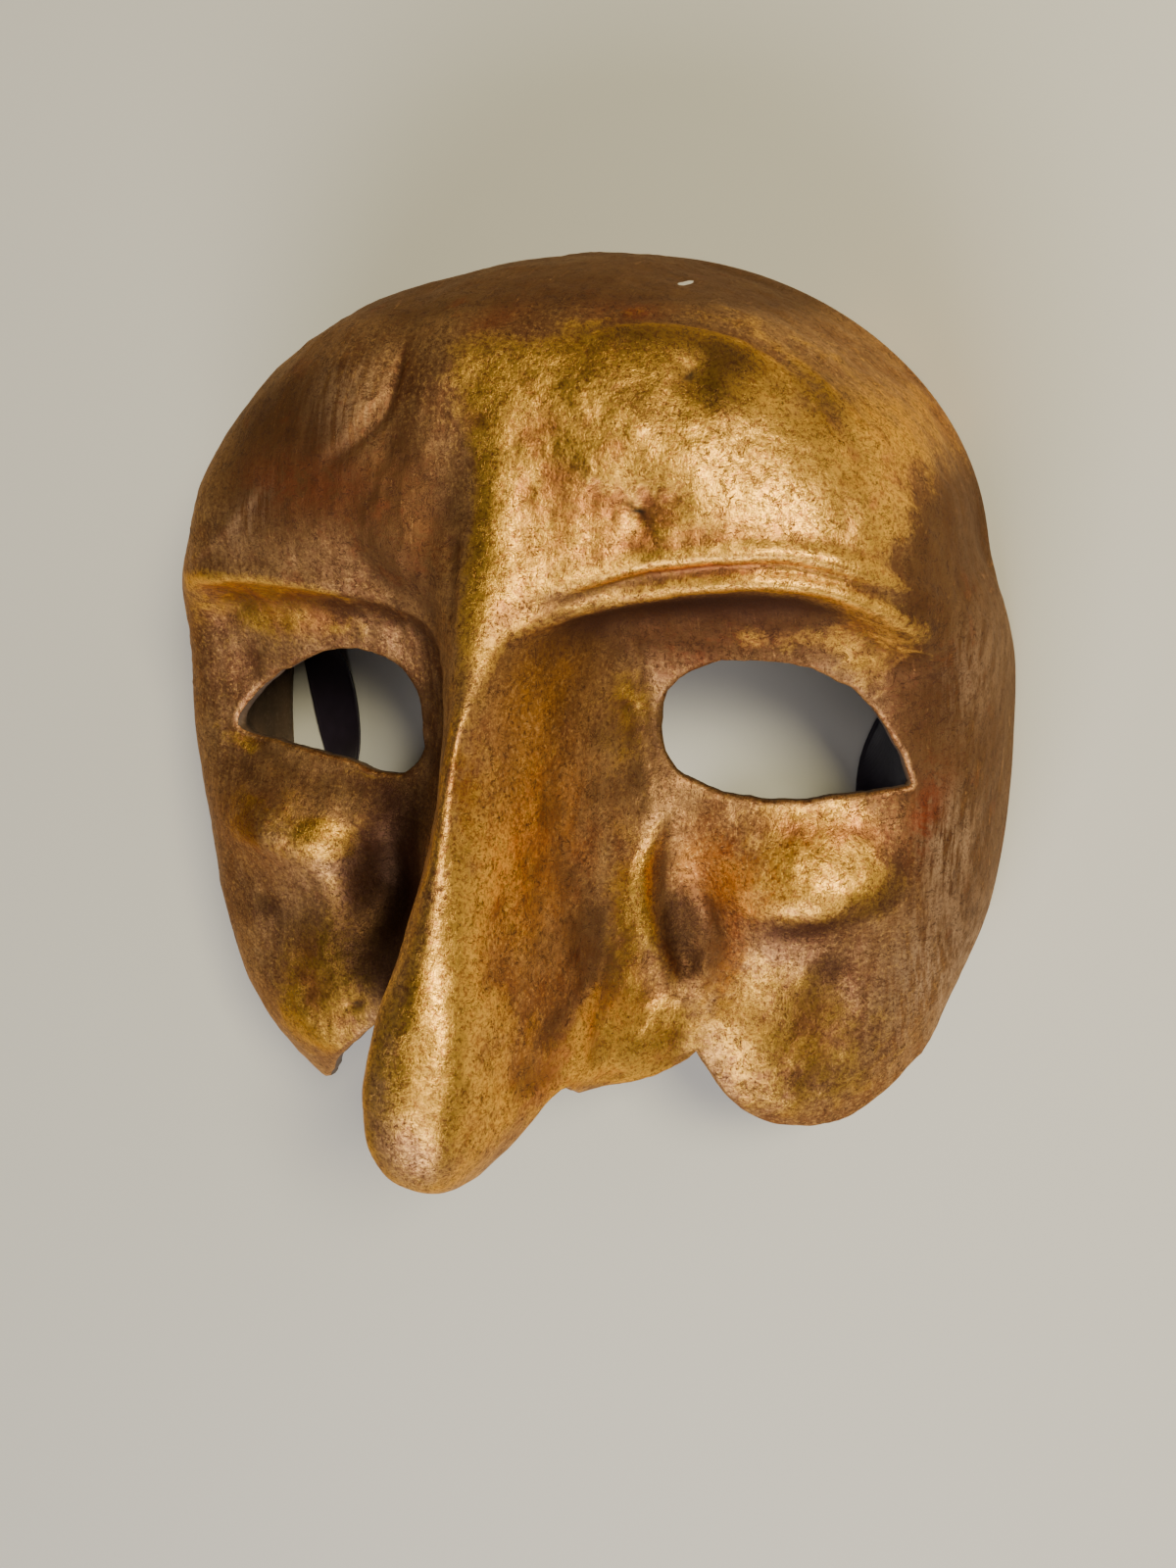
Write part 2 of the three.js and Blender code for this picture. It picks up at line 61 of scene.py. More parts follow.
# satin ribbon ties and their coils
RIBBON_WIDTH = 10
RIBBON_THICK = 0.55
RIBBON_LIFT = 0.1
RIBBON_RISE = 0.6
# places across half the width and the share of the thickness there: rounded selvedges, a slight cup
RIBBON_SECTION = [(1, 0.35), (0.97, 0.9), (0.9, 1), (0.6, 0.62), (0.3, 0.6), (0, 0.6)]
# ripple of the satin: height and its two wave lengths
RIPPLE = (0.12, 3.1, 7.7)
# the free end is cut at a slant: length of the cut stretch and its lean
SLANT = (6, 0.3)
COIL_CENTRE = (30, -52)
COIL_RADII = (26.3, 19.7)
COIL_TURNS = 1.85
COIL_STEPS = 28
# part of the first turn in which the ribbon comes in to its coil
COIL_EASING = 0.22
# x, y, height above lying, and tilt from flat in degrees
RIGHT_WAY = [
    (61.2, 27, 13, 90), (63.6, 21, 10, 90), (64.9, 15, 6.5, 85), (64.2, 9, 3, 70), (61, 3, 1, 45),
    (56.5, -3, 0.2, 18), (52.5, -9, 0, 0), (50, -16, 0, 0), (50, -23, 0, 15), (52, -30, 0, 45),
    (55.6, -37, 0, 78), (57.5, -43, 0, 90),
]
LEFT_WAY = [
    (-62.6, 27, 13, 90), (-65.4, 21, 10, 90), (-67.4, 15, 6.5, 85), (-68.2, 9, 3, 70),
    (-68, 3, 1, 45), (-66.9, -3, 0.2, 18), (-65.8, -9, 0, 0), (-64.2, -16, 0, 0),
    (-62.4, -23, 0, 15), (-60.4, -30, 0, 45), (-58.6, -37, 0, 78), (-57.5, -43, 0, 90),
]


def to_row(points):
    """Drawing millimetres to metres in the part's frame."""
    return (np.asarray(points, float) - MIDDLE) * MM


# Camera: a little to the right of the mask's front and above its middle, looking down on it as it lies

AZIMUTH = math.radians(18)
ELEVATION = math.radians(14)
ROLL = math.radians(1.5)
DISTANCE = 320
TARGET = (9.5, -11, 58)
FOCAL_PIXELS = 1952
IMAGE_HEIGHT = 1600
SENSOR = 36
NEAREST_SEEN = 0.01


def make_camera():
    """The camera, turned to its target and rolled a little about its own axis."""
    back = Vector((
        math.sin(AZIMUTH) * math.cos(ELEVATION),
        math.sin(ELEVATION),
        math.cos(AZIMUTH) * math.cos(ELEVATION),
    ))
    right = Vector((0, 1, 0)).cross(back).normalized()
    up = back.cross(right)
    turned_right = right * math.cos(ROLL) + up * math.sin(ROLL)
    turned_up = back.cross(turned_right)
    data = bpy.data.cameras.new("camera")
    data.sensor_width = SENSOR
    data.lens = FOCAL_PIXELS / IMAGE_HEIGHT * SENSOR
    data.clip_start = NEAREST_SEEN
    camera = bpy.data.objects.new("camera", data)
    bpy.context.scene.collection.objects.link(camera)
    axes = Matrix((turned_right, turned_up, back)).transposed().to_4x4()
    place = Vector(to_row(TARGET)) + back * DISTANCE * MM
    camera.matrix_world = Matrix.Translation(place) @ axes
    bpy.context.scene.camera = camera


make_camera()


# Meshes

def make_mesh(name, points, faces, materials, slots=None, smooth=True):
    """An object from points in metres and faces, with a material number for each face."""
    mesh = bpy.data.meshes.new(name)
    mesh.from_pydata([tuple(p) for p in points], [], [tuple(int(i) for i in f) for f in faces])
    for material in materials:
        mesh.materials.append(material)
    if slots is not None:
        mesh.polygons.foreach_set("material_index", np.asarray(slots, np.int32))
    mesh.polygons.foreach_set("use_smooth", np.full(len(mesh.polygons), smooth))
    mesh.update()
    thing = bpy.data.objects.new(name, mesh)
    bpy.context.scene.collection.objects.link(thing)
    return thing


def add_values(thing, name, values):
    """A number on each point, which a material reads by name."""
    thing.data.attributes.new(name, "FLOAT", "POINT").data.foreach_set("value", values)


def smooth(low, high, value):
    """0 below the low value, 1 above the high one, smooth between."""
    t = np.clip((value - low) / (high - low), 0, 1)
    return t * t * (3 - 2 * t)


def unit(vectors):
    return vectors / (np.linalg.norm(vectors, axis=-1, keepdims=True) + 1e-12)


def through(knots, steps):
    """Points on a smooth curve through a few knots of any width, each stretch in equal steps."""
    k = np.asarray(knots, float)
    before = np.vstack([2 * k[0] - k[1], k[:-2], k[-2:-1]])[: len(k) - 1]
    after = np.vstack([k[2:], 2 * k[-1] - k[-2]])
    t = (np.arange(steps) / steps)[None, :, None]
    p0, p1, p2, p3 = (a[:, None, :] for a in (before, k[:-1], k[1:], after))
    line = 0.5 * (2 * p1 + (p2 - p0) * t + (2 * p0 - 5 * p1 + 4 * p2 - p3) * t**2
                  + (3 * p1 - p0 - 3 * p2 + p3) * t**3)
    return np.vstack([line.reshape(-1, k.shape[1]), k[-1:]])


def material(name):
    """A new node material, and a function that adds nodes to it."""
    made = bpy.data.materials.new(name)
    made.use_nodes = True
    tree = made.node_tree
    shader = tree.nodes["Principled BSDF"]

    def node(kind, inputs=(), **settings):
        new = tree.nodes.new("ShaderNode" + kind)
        for key, value in settings.items():
            setattr(new, key, value)
        for key, value in dict(inputs).items():
            if isinstance(value, bpy.types.NodeSocket):
                tree.links.new(value, new.inputs[key])
            else:
                new.inputs[key].default_value = value
        return new

    def link(source, socket):
        tree.links.new(source, shader.inputs[socket])

    return made, shader, node, link


# red, green and blue of the paints, threads and surroundings
PAINT = {
    "thread_dark": (0.006, 0.0045, 0.009),
    "thread_violet": (0.022, 0.014, 0.034),
    # painted sheen of the satin threads
    "thread_painted_sheen": (0.045, 0.032, 0.06),
    "brown": (0.30, 0.13, 0.06),
    "bronze": (0.64, 0.36, 0.15),
    # orange-brown glaze, also the painted glow in the cheek pit
    "amber_glaze_and_glow": (0.62, 0.245, 0.03),
    # matt paint, darkened as painted shade
    "matt_shade_dark": (0.038, 0.014, 0.005),
    "matt_shade_brown": (0.13, 0.055, 0.02),
    # painted sheen on the sides
    "painted_grey_sheen": (0.60, 0.38, 0.23),
    "pore": (0.14, 0.05, 0.024),
    "fleck": (0.95, 0.52, 0.15),
    "old_gold": (0.76, 0.285, 0.09),
    "bright_gold": (1.0, 0.54, 0.085),
    "thin_gold": (0.40, 0.135, 0.045),
    "red_ground": (0.22, 0.034, 0.012),
    # patina, also used for painted shade
    "patina_and_shade": (0.052, 0.019, 0.013),
    "dried_line": (0.045, 0.016, 0.012),
    # painted shade, partly dark paint, in the deepest hollows
    "deep_paint_and_shade": (0.012, 0.005, 0.003),
    "dent": (0.010, 0.008, 0.008),
    "bare_ground": (0.75, 0.70, 0.62),
    "glint": (0.85, 0.6, 0.36),
    "lining_dark": (0.055, 0.032, 0.02),
    "lining": (0.12, 0.07, 0.042),
    "lining_fibre": (0.2, 0.13, 0.085),
    "floor_low": (0.66, 0.645, 0.62),
    "floor_high": (0.70, 0.685, 0.66),
    "sky": (0.92, 0.94, 1.0),
}


def paint(name):
    return (*PAINT[name], 1)


def blend(node, share, first, second):
    """The colour that is the first where the share is 0 and the second where it is 1."""
    mix = node("Mix", data_type="RGBA")
    tree = mix.id_data
    for socket, value in ((mix.inputs["Factor"], share), (mix.inputs[6], first), (mix.inputs[7], second)):
        if isinstance(value, bpy.types.NodeSocket):
            tree.links.new(value, socket)
        else:
            socket.default_value = value
    return mix.outputs[2]


def sums(node, operation, first, second, clamp=False):
    """One step of arithmetic on two values."""
    return node("Math", {0: first, 1: second}, operation=operation, use_clamp=clamp).outputs[0]


def ramp(node, value, low, high):
    """0 at the low value and 1 at the high one, smooth between; the high one may be the smaller."""
    return node(
        "MapRange", {"Value": value, "From Min": low, "From Max": high}, interpolation_type="SMOOTHSTEP"
    ).outputs["Result"]


# Ribbons

def satin_material():
    """Black-violet satin: lighter threads across the ribbon as a painted sheen, a fine weave, and firmer
    edges.
    """
    made, shader, node, link = material("satin")
    across = node("Attribute", attribute_name="across").outputs["Fac"]
    along = node("Attribute", attribute_name="along").outputs["Fac"]
    place = node("CombineXYZ", {"X": along, "Y": across}).outputs[0]
    threads = node("TexWave", {"Vector": place, "Scale": 1.6, "Distortion": 0.6, "Detail": 2.0},
                   wave_type="BANDS", bands_direction="X").outputs["Fac"]
    cloudy = node("TexNoise", {"Vector": place, "Scale": 0.35, "Detail": 3.0}).outputs["Fac"]
    violet = blend(node, cloudy, paint("thread_dark"), paint("thread_violet"))
    # painted sheen: the threads are painted lighter
    painted_sheen_share = sums(node, "MULTIPLY", threads, 0.35)
    link(blend(node, painted_sheen_share, violet, paint("thread_painted_sheen")), "Base Color")
    link(sums(node, "ADD", sums(node, "MULTIPLY", cloudy, 0.2), 0.28), "Roughness")
    shader.inputs["Sheen Weight"].default_value = 0.25
    shader.inputs["Sheen Roughness"].default_value = 0.4
    edge = ramp(node, node("Math", {0: across}, operation="ABSOLUTE").outputs[0], 4.1, 4.5)
    height = sums(node, "ADD", threads, sums(node, "MULTIPLY", edge, 2.0))
    bump = node("Bump", {"Height": height, "Strength": 0.35, "Distance": 0.00012})
    link(bump.outputs["Normal"], "Normal")
    return made


def ribbon_path(way, side):
    """The ribbon's middle line and tilt: along the way, then round and round inwards on its edge."""
    free = through(way, 4)[:-1]
    angle = np.arctan2(way[-1][1] - COIL_CENTRE[1], abs(way[-1][0]) - COIL_CENTRE[0])
    count = int(COIL_TURNS * COIL_STEPS)
    turn = np.arange(count + 1) / COIL_STEPS
    start = math.hypot(way[-1][1] - COIL_CENTRE[1], abs(way[-1][0]) - COIL_CENTRE[0])
    easing = (start - COIL_RADII[0]) * (1 - smooth(0, COIL_EASING, turn))
    radius = COIL_RADII[0] + (COIL_RADII[1] - COIL_RADII[0]) * turn / COIL_TURNS + easing
    angles = angle - 2 * math.pi * turn
    coil = np.stack([
        side * (COIL_CENTRE[0] + radius * np.cos(angles)),
        COIL_CENTRE[1] + radius * np.sin(angles),
        np.zeros(count + 1),
        np.full(count + 1, 90.0),
    ], axis=1)
    line = np.vstack([free, coil])
    tilt = np.radians(line[:, 3])
    line[:, 2] += RIBBON_WIDTH / 2 * np.sin(tilt) + RIBBON_RISE * np.cos(tilt) + RIBBON_LIFT
    return line[:, :3], tilt


def make_ribbon(name, way, side, satin):
    """One tie as a single band: its free stretch and its coil."""
    line, tilt = ribbon_path(way, side)
    ahead = unit(np.gradient(line, axis=0))
    flat = unit(np.stack([-ahead[:, 1], ahead[:, 0], np.zeros(len(line))], axis=1))
    width = flat * (-side * np.cos(tilt))[:, None]
    width[:, 2] += np.sin(tilt)
    width = unit(width - ahead * (width * ahead).sum(1, keepdims=True))
    thick = np.cross(ahead, width)
    half = RIBBON_WIDTH / 2
    section = np.array([(-place, share) for place, share in RIBBON_SECTION] + RIBBON_SECTION[-2::-1])
    places = section[:, 0] * half
    bulge = section[:, 1] * RIBBON_THICK / 2
    across = np.concatenate([places, places[::-1]])
    off = np.concatenate([bulge, -bulge[::-1]])
    length = np.concatenate([[0], np.cumsum(np.linalg.norm(np.diff(line, axis=0), axis=1))])
    ripple = RIPPLE[0] * np.sin(length / RIPPLE[1] + side) * np.sin(length / RIPPLE[2])
    points = (
        line[:, None]
        + across[None, :, None] * width[:, None]
        + (off[None, :, None] + ripple[:, None, None]) * thick[:, None]
    )
    slant = np.clip((length - length[-1] + SLANT[0]) / SLANT[0], 0, 1)
    points -= (slant[:, None] * (across[None, :] + half) * SLANT[1])[..., None] * ahead[:, None]
    ring = len(across)
    faces = []
    for i in range(len(line) - 1):
        for j in range(ring):
            k = (j + 1) % ring
            faces.append((i * ring + j, i * ring + k, (i + 1) * ring + k, (i + 1) * ring + j))
    for start, flip in ((0, True), ((len(line) - 1) * ring, False)):
        for j in range(len(places) - 1):
            quad = [start + j, start + j + 1, start + ring - 2 - j, start + ring - 1 - j]
            faces.append(quad[::-1] if flip else quad)
    if side < 0:
        faces = [face[::-1] for face in faces]
    piece = make_mesh(name, to_row(points.reshape(-1, 3)), faces, [satin])
    add_values(piece, "across", np.tile(across, len(line)))
    add_values(piece, "along", np.repeat(length, ring))
    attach(piece, "root")
    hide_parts(name.replace("_tie", ""), name.replace("_tie", "_coil"))


SATIN = satin_material()
make_ribbon("left_ribbon_tie", LEFT_WAY, -1, SATIN)
make_ribbon("right_ribbon_tie", RIGHT_WAY, 1, SATIN)


# Profiles of the face along its rows; a row is named by its height on the middle line

def profile(*knots):
    """A smooth profile through a few (place, size) knots, level beyond its ends."""
    at, size = (np.array(column, float) for column in zip(*knots))
    span = np.diff(at)
    slope = np.diff(size) / span
    inner = (slope[:-1] * span[1:] + slope[1:] * span[:-1]) / (span[:-1] + span[1:])
    lean = np.concatenate([slope[:1], inner, slope[-1:]])

    def value(place):
        place = np.clip(place, at[0], at[-1])
        i = np.clip(np.searchsorted(at, place, side="right") - 1, 0, len(span) - 1)
        t = (place - at[i]) / span[i]
        s = 1 - t
        return ((1 + 2 * t) * s * s * size[i] + t * s * s * span[i] * lean[i]
                + t * t * (3 - 2 * t) * size[i + 1] - t * t * s * span[i] * lean[i + 1])

    return value


middle_y = profile(
    (-95, -95), (45, 45), (60, 58.5), (70, 65.5), (82, 71), (96, 74), (115, 75.3), (140, 76),
)
middle_z = profile(
    (-95, 32), (-77, 45), (-56, 56), (-30, 58), (0, 61), (12, 66), (22, 73.5), (30, 77.2), (38, 78),
    (48, 77), (58, 74.3), (68, 69), (80, 58), (95, 43), (115, 25), (140, 0),
)
rim_y = profile(
    (-95, -95), (-45, -45), (-15, -17), (5, -4), (25, 4), (50, 10), (80, 15), (110, 19.5), (140, 23),
)
half_right = profile(
    (-95, 51), (-77, 60), (-66, 64), (-56, 67.5), (-43, 71), (-30, 72.8), (-15, 73.4), (0, 73.2),
    (25, 72.6), (60, 70.8), (80, 69.3), (110, 67.5), (140, 66),
)
half_left = profile(
    (-95, 56), (-80, 63), (-66, 69.5), (-56, 72.5), (-43, 75), (-30, 76.2), (-15, 76.8), (0, 76.3),
    (25, 74.6), (60, 71.5), (80, 70.5), (110, 69.7), (140, 69),
)
squareness = profile(
    (-95, 3.6), (-50, 4), (-10, 4), (22, 4), (38, 3.5), (60, 2.6), (90, 2.1), (140, 1.95),
)
# the hooked nose: its ridge, the lean of its tip, and its half widths
ridge_y = profile(
    (-80, -68.5), (-76, -69.5), (-72, -69), (-68, -66.5), (-62, -61.5), (-54, -54), (-38, -38),
    (0, 0), (10, 9), (20, 19), (30, 30), (45, 45),
)
ridge_z = profile(
    (-80, 89), (-76, 93), (-72, 98.5), (-68, 103.5), (-62, 107.3), (-54, 109), (-46, 108.5),
    (-38, 106.5), (-30, 104), (-20, 101), (-10, 98.5), (0, 95.5), (10, 91.5), (20, 86), (30, 81.5),
    (45, 78),
)
tip_lean = profile((-50, -2.4), (-15, 0))
nose_foot = profile((-55, 28), (-35, 25), (-15, 21), (5, 18), (22, 20), (34, 32), (45, 42))
bridge_flat = profile((-25, 3), (-10, 1.5), (5, 2.2), (22, 5), (45, 9))
ball_half = profile(
    (-80, 3), (-74, 5), (-70, 6.8), (-66, 9), (-60, 11.6), (-52, 12.4), (-43, 11.7), (-32, 9.7),
    (-20, 8), (-10, 7), (22, 5),
)
# lower edge: under each lobe by distance from the middle, under the nose by depth, and at the side
lobe_right = profile(
    (24, -54), (27, -56), (30, -57.5), (32, -61), (35, -66), (39, -70.5), (47, -73), (53, -72.3),
    (60, -67), (70, -58),
)
lobe_left = profile(
    (24, -54), (27, -56), (31, -60.5), (36, -65.5), (42, -71.2), (47, -77.4), (51, -82.5), (55, -87.5),
    (62, -92),
)
under_nose = profile(
    (45, -52), (52, -55), (56, -60), (60, -63), (64, -64), (70, -61.5), (76, -58.5), (80, -59.5),
    (84, -63), (88, -68), (92, -73), (120, -80),
)
side_cut = profile((-90, 41), (-80, 34), (-70, 30), (-60, 22), (-50, 9), (-42, 0), (-36, -6))
LOBE_FROM = (27, 30)
# how round the corner of each lobe is
LOBE_CORNER = {"left": 1.5, "right": 8}

# crest of each brow, from the temple to the nose, by distance from the middle
CREST_RIGHT = through([
    (78, 12), (68, 16), (62, 20.5), (55, 24.5), (44, 27.2), (30, 26), (18, 23.5), (9, 22), (4.5, 20),
    (2.6, 14), (1.2, 6), (0.3, -3),
], 8)
CREST_LEFT = through([
    (78, 9), (70, 14), (62, 19), (54, 21.3), (43, 21.9), (30, 21.3), (22, 20.3), (15, 18), (10, 14),
    (7, 7), (5, -3),
], 8)
EYE_RIGHT_KNOTS = [
    (21.8, -3), (22.3, 4), (25.5, 8.3), (33, 11.6), (43, 11.5), (51, 8.6), (57, 2), (61.8, -7.5),
    (60.5, -9.2), (54, -10.2), (44, -11.6), (35, -11.7), (27, -9.8), (23.3, -7),
]
EYE_LEFT_KNOTS = [
    (22.3, -5), (22.8, 0), (25, 4.8), (29.5, 7.6), (35, 8), (42, 6.2), (50, 2.3), (57, -2.5),
    (61.5, -8.8), (57, -10.6), (50, -10.9), (38, -12.4), (30, -13.9), (25.5, -13.2), (22.8, -9.6),
]

# Carving: height, centre x and y, half width, half height, turn in degrees
SOCKET_DEPTH = 5
SOCKET_BLEND = 9
ON_BOTH_SIDES = [
    (4.8, 50, -25, 12, 9, 12),
    (-3, 52, -46, 12, 14, 0),
    (-5.5, 29, -34, 6, 12, 13),
    (4.5, 20, -55, 6, 8, 0),
    (2, 42, -66, 16, 8, 0),
    (-2, 69, 29, 7, 8, 0),
]
UNEVEN = [
    (-1.8, -19, 54, 4, 14, 4),
    (1.6, -28, 51, 6, 10, 12),
    (-1.3, 22, 37, 7, 4, 0),
    (-1, 28, 57, 4, 4, 0),
    (-2.6, -10, 30, 5, 14, -8),
    (1.4, 0, 36, 5, 14, 0),
    (2, -72, -6, 10, 22, 0),
]
RIM_BLEND = 10
# half the stretch over which a slope is taken
SLOPE_REACH = 1.5


def closed(knots, steps):
    """A smooth closed outline through its knots."""
    wrapped = knots[-3:] + knots + knots[:3]
    line = through(wrapped, steps)
    return line[3 * steps: (3 + len(knots)) * steps + 1]


EYE_RIGHT = closed(EYE_RIGHT_KNOTS, 8)
EYE_LEFT = closed(EYE_LEFT_KNOTS, 8)


def swelling(x, y, form):
    """A round or oval rise that fades out on all sides."""
    height, centre_x, centre_y, radius_x, radius_y, turn = form
    angle = math.radians(turn)
    along = (x - centre_x) * math.cos(angle) + (y - centre_y) * math.sin(angle)
    aside = (y - centre_y) * math.cos(angle) - (x - centre_x) * math.sin(angle)
    return height * np.exp(-((along / radius_x) ** 2) - (aside / radius_y) ** 2)


def from_line(x, y, line):
    """Distance to a line, positive on its right-hand side, and how far along the nearest point is."""
    nearest = np.full(np.shape(x), np.inf)
    side = np.ones(np.shape(x))
    along = np.zeros(np.shape(x))
    for i, (a, b) in enumerate(zip(line[:-1], line[1:])):
        dx, dy = b - a
        t = np.clip(((x - a[0]) * dx + (y - a[1]) * dy) / (dx * dx + dy * dy), 0, 1)
        distance = np.hypot(x - a[0] - t * dx, y - a[1] - t * dy)
        closer = distance < nearest
        nearest = np.where(closer, distance, nearest)
        side = np.where(closer, np.where(dx * (y - a[1]) - dy * (x - a[0]) < 0, 1, -1), side)
        along = np.where(closer, (i + t) / (len(line) - 1), along)
    return nearest * side, along


def outside(x, y, outline):
    """Distance to a closed outline, positive outside it."""
    inside = np.zeros(np.shape(x), bool)
    for a, b in zip(outline[:-1], outline[1:]):
        if a[1] == b[1]:
            continue
        crosses = (a[1] > y) != (b[1] > y)
        inside ^= crosses & (x < a[0] + (b[0] - a[0]) * (y - a[1]) / (b[1] - a[1]))
    distance = np.abs(from_line(x, y, outline)[0])
    return np.where(inside, -distance, distance)


def plain_face(across, row, inset=0.0):
    """The face without nose and carving: one rounded arch for each row, from side to side."""
    sine = np.sin(across * math.pi / 2)
    cosine = np.maximum(np.cos(across * math.pi / 2), 0)
    power = squareness(row)
    reach = (np.abs(sine) ** power + cosine ** power) ** (-1 / power)
    climb = middle_y(row + 0.5) - middle_y(row - 0.5)
    rise = middle_z(row + 0.5) - middle_z(row - 0.5)
    length = np.hypot(climb, rise) + 1e-9
    top = middle_y(row) + inset * rise / length
    front = np.maximum(middle_z(row) - inset * climb / length, 0)
    half = np.where(across < 0, half_left(row), half_right(row)) - inset
    return np.stack([
        half * reach * sine,
        top - (top - rim_y(row)) * (1 - reach * cosine),
        front * reach * cosine,
    ], axis=-1)


def plain_normal(across, row):
    """Outward normal of the plain face."""
    u = np.clip(across, -0.985, 0.985)
    sideways = plain_face(u + 0.001, row) - plain_face(u - 0.001, row)
    upward = plain_face(u, row + 0.05) - plain_face(u, row - 0.05)
    return unit(np.cross(sideways, upward))


def nose_share(distance, row):
    """Share of the nose's height: a flat bridge with straight sides above, a ball below."""
    foot = distance / nose_foot(row)
    flat = bridge_flat(row) / nose_foot(row)
    fall = (np.sqrt(foot**2 + flat**2) - flat) / (np.sqrt(1 + flat**2) - flat)
    bridge = 1 - fall
    bridge = 0.5 * (bridge + np.sqrt(bridge**2 + 0.014))
    bridge -= 0.1 * np.sin(math.pi * np.clip(fall, 0, 1)) * (1 - smooth(15, 30, row))
    bridge *= 1 - smooth(1.1, 1.9, foot)
    rounded = distance / ball_half(row)
    ball = np.maximum((1 - 0.14 * np.minimum(rounded, 2.5) ** 2) / (1 + rounded**8), 0)
    ball *= 1 - smooth(0.6, 1, foot)
    skirt = 0.16 * (1 - smooth(0.3, 1, foot))
    ball = ball * (1 - skirt) + skirt
    low = 1 - smooth(-42, -5, row)
    return (bridge * (1 - low) + ball * low) * (1 - smooth(24, 47, row))


def socket(distance_out, y, crest):
    """The sunken ground below a brow's crest."""
    below = -from_line(distance_out, y, crest)[0]
    sunk = smooth(0, SOCKET_BLEND, below) * smooth(-30, -8, y)
    return sunk * (1 - smooth(56, 72, distance_out)) * smooth(3, 14, distance_out)


def broad_carving(x, y):
    """Height of the sockets, cheekbones, hollows and other broad forms."""
    height = -SOCKET_DEPTH * (socket(x, y, CREST_RIGHT) + socket(-x, y, CREST_LEFT))
    for form in ON_BOTH_SIDES:
        height = height + swelling(np.abs(x), y, form)
    for form in UNEVEN:
        height = height + swelling(x, y, form)
    return height


def ridge_along(distance, along, height, above, half, start, end):
    """A rounded ridge that follows a crest at a distance above it."""
    across = (distance - above) / half
    return height * np.exp(-(across**2)) * smooth(*start, along) * (1 - smooth(*end, along))


def crest_relief(x, y):
    """The crests' beads, the second fold above the right one, and the edge of the last paper layer."""
    right = from_line(x, y, CREST_RIGHT)
    left = from_line(-x, y, CREST_LEFT)
    height = ridge_along(*right, 1.7, 0, 1.9, (0.06, 0.25), (0.88, 1))
    height += ridge_along(*right, 1.4, 4.4, 1.6, (0.1, 0.25), (0.55, 0.68))
    height += ridge_along(*left, 1.4, 0, 2, (0.08, 0.3), (0.65, 0.85))
    arch = 66.5 - 0.0175 * (x - 22) ** 2
    layer = smooth(-1, 1, y - arch) * smooth(8, 16, x) * (1 - smooth(46, 58, x))
    return height - layer


# Finer relief: creases and cracks of the paper by depth, half width and the points they run through
CREASES = {
    "layer_edge": (-0.9, 0.8, [(10, 62), (15, 64.6), (22, 65.4), (30, 64.2), (38, 60.8), (45, 55.5)]),
    "layer_lip": (0.7, 1.1, [(12, 64.5), (17, 66.8), (22, 67.6), (30, 66.4), (38, 63)]),
    "layer_side": (-0.6, 0.9, [(45, 55.5), (50, 49), (54, 43)]),
    "groove_between": (-0.7, 0.7, [(9, 23.6), (18, 25.6), (30, 28.3), (44, 29.4), (55, 26.8), (61, 23)]),
    "left_groove": (-0.9, 1.0, [(-19.3, 63), (-19.3, 55), (-20.5, 49), (-25, 44), (-31, 40.5)]),
    "temple_fold": (0.5, 0.9, [(-41, 38), (-48, 31), (-56, 25), (-63, 21.5)]),
    "slit": (-1.1, 0.45, [(20.3, 37.8), (22.2, 37), (24, 35.8)]),
    "glabella": (-0.7, 1.5, [(-7.5, 33), (-6, 27), (-4.5, 20)]),
    "eye_corner_fold": (0.5, 0.7, [(15.6, 5.6), (17.6, 3), (19.8, 1.6)]),
    "eye_corner_groove": (-0.4, 0.6, [(15.8, 3), (17.6, 0.6), (19.4, -0.4)]),
    "pit_edge": (0.6, 1.3, [(24, -12), (20.8, -20), (20.2, -30), (22.5, -39), (27, -46)]),
    "pit_wall": (-0.9, 1.8, [(24, -19), (23.2, -28), (25, -38), (29, -45)]),
    "under_left_eye": (-0.6, 0.9, [(-30, -16), (-42, -16.5), (-54, -13.5), (-63, -9)]),
    "left_lobe_crack": (-0.9, 0.5, [(-33.2, -56.4), (-35.5, -58), (-38, -58.6)]),
    "forehead_mark": (-0.35, 0.5, [(2, 47), (3.4, 45)]),
    "wing_edge": (0.6, 0.9, [(15.5, -40), (14.6, -47), (14.4, -54), (15.2, -60)]),
    "wing_groove": (-0.6, 1.1, [(13, -42), (12.2, -50), (12, -56)]),
    "ball_side": (-0.5, 1.2, [(6.5, -20), (7.5, -28), (8.5, -36)]),
    "left_cheek_fold": (-0.5, 1.0, [(-63, -14), (-56, -18), (-46, -21)]),
}
LUMPS = [
    (0.9, 18, 14, 3, 2.2, 0), (0.9, 17, -50, 2.5, 6, 0), (-0.8, 28, 57.4, 0.9, 0.7, 0),
    (0.7, 27, 61, 4, 1.8, 0), (0.5, 33, 54, 1.5, 5, 15), (1.1, -39, -26, 4, 3, 0),
    (-1.4, -30, -36, 5, 9, -10), (0.6, 40, -55, 6, 4, 0), (0.5, -60, 8, 5, 4, 0), (0.5, -6, 60, 6, 3, 0),
    (0.5, 43, -28, 3, 2, 10),
]


# unevenness of the outer and the inner face: height, size of the lumps, seed
OUTER_LUMPS = [(0.45, 17, 1), (0.16, 5.5, 2)]
INNER_LUMPS = [(0.25, 9, 5), (0.12, 3, 6)]
# soft wrinkles of the paper strips: height, size, how far they are drawn out, and their sharpness
WRINKLE_HEIGHT = 0.22
WRINKLE_SIZE = 8
WRINKLE_STRETCH = np.array([1, 0.45, 0.7])
WRINKLE_SHARPNESS = 3.2


